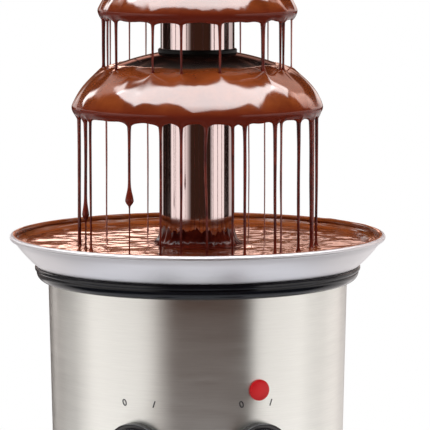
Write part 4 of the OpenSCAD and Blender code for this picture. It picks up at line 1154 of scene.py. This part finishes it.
def pool_height(radius, angle):
    """Height of the pool's face: a slow swirl, pebbling on the right, and rings round each thread."""
    x, y, height = round_axis(radius, POOL_Z, angle)
    height += 0.7 * MM * noise_at(x, y, 32 * MM, 24 * MM, 4.0)
    height += 0.35 * MM * noise_at(x, y, 12 * MM, 9 * MM, 9.0)
    right = clamp((x - 20 * MM) / (30 * MM))
    height += 0.14 * MM * right * noise_at(x, y, 4.2 * MM, 4.2 * MM, 1.0)
    warp = 1 + 0.3 * noise_at(x, y, 12 * MM, 12 * MM, 2.0)
    for fall_x, fall_y, size in falls:
        gap = hypot(x - fall_x, y - fall_y)
        if gap < RING_END:
            ring = cos(gap * warp / RING_WAVE * tau) * exp(-gap / RING_FADE)
            height += 0.18 * MM * size * ring + 0.9 * MM * size * exp(-gap / CONE_R)
    return height


print(len(falls), "rings on the pool's face")

# %% Film on the wall
bead_meet = wall_end + 180 + meet
meet_z = bead_centre[1] + RIM_BEAD * sin(radians(bead_meet))
FILM_ON_WALL = 0.5
FILM_FOOT = POOL_Z - 0.2 * MM
FILM_SKIN = 0.45 * MM
FILM_STROKE = 0.35 * MM
MENISCUS = 2.1 * MM
FILM_THIN_OUT = 0.12


def film_spot(share, angle, skin):
    """A point of the film that has dried on the wall and, further up, round the inside of the rolled rim."""
    if share < FILM_ON_WALL:
        height = FILM_FOOT + (meet_z - FILM_FOOT) * share / FILM_ON_WALL
        wall = wall_centre[0] + sqrt(inner_wall ** 2 - (height - wall_centre[1]) ** 2)
        lean = atan2(height - wall_centre[1], wall - wall_centre[0])
        return wall - skin * cos(lean), height - skin * sin(lean)
    end = 98 + ring_noise(angle, 14, 21) * 22 + ring_noise(angle, 50, 22) * 12
    round_rim = (share - FILM_ON_WALL) / (1 - FILM_ON_WALL)
    return on_arc(bead_centre, RIM_BEAD + skin, bead_meet + (end - bead_meet) * round_rim)


def pool_spot(kind, t, angle):
    """Radius and height of a station of the pool at an angle round the axis."""
    if kind == "face":
        return t, pool_height(t, angle)
    if kind == "film":
        stroke = FILM_STROKE * ring_noise(angle, 16, 23, t * 7) * min(1.0, t * 6)
        skin = FILM_SKIN + stroke + MENISCUS * exp(-t * 14)
        return film_spot(t, angle, skin * min(1.0, (1 - t) / FILM_THIN_OUT + 0.02))
    if kind == "film back":
        return film_spot(t, angle, -0.12 * MM)
    if kind == "wall":
        return on_arc(wall_centre, inner_wall + 0.1 * MM, t)
    return t, bowl_floor_z - 0.1 * MM


print("film between heights in mm of", mm(FILM_FOOT, rim_z))


# %% Pool
def pool_mark(kind, _, point):
    """The film on the wall is dull, and paler in strokes."""
    if kind != "film":
        return 0.0, 0.0
    stroke = noise.noise(Vector((point.x * 45, point.y * 45, point.z * 450)))
    return clamp(0.85 + 0.6 * noise.noise(point * 90)), max(0.0, 0.2 * stroke)


pour(skin_of(pool_stations, pool_spot, 480, False, pool_mark), "pool", pool_chocolate, "base")

# %% [markdown]
# ## Splash
# Chocolate climbs the tube where it stands in the pool and dries there in a dark ragged skirt, whose darker
# thread finish is partly painted shade from the tiers above. It could be part of the pool, but it clings to
# the tube, so it is a ring of its own that rides on the tower.

# %% Splash
SPLASH_REACH = 10 * MM
SPLASH_FALL = 1.7 * MM
SPLASH_SUNK = 1.5 * MM
SLOPE = 16


def splash_spot(i, angle):
    """A point of the skirt: stations down its slope, then two underneath."""
    share = i / SLOPE if i <= SLOPE else SLOPE + 2 - i
    radius = tube_r - 0.1 * MM + SPLASH_REACH * share ** 1.6
    if i > SLOPE:
        return round_axis(radius, POOL_Z - SPLASH_SUNK, angle)
    rise = 9.5 + 3.4 * ring_noise(angle, 18, 51) + 2.4 * ring_noise(angle, 46, 52)
    foot = 0.6 + 0.9 * ring_noise(angle, 30, 53, share * 4)
    height = foot * MM * (1 - share) + rise * MM * exp(-(radius - tube_r) / SPLASH_FALL)
    return round_axis(radius, POOL_Z + height, angle)


bm = bmesh.new()
rolled(bm, SLOPE + 3, 360, True, splash_spot)
# The skirt takes the darker thread finish, partly as painted shade from the tiers above.
pour(bm, "splash", thread_chocolate, "tower")

# %% Sizes and finish
visual_box = [list(corner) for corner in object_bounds()]
print("visual box in mm", mm(*visual_box[0]), mm(*visual_box[1]))
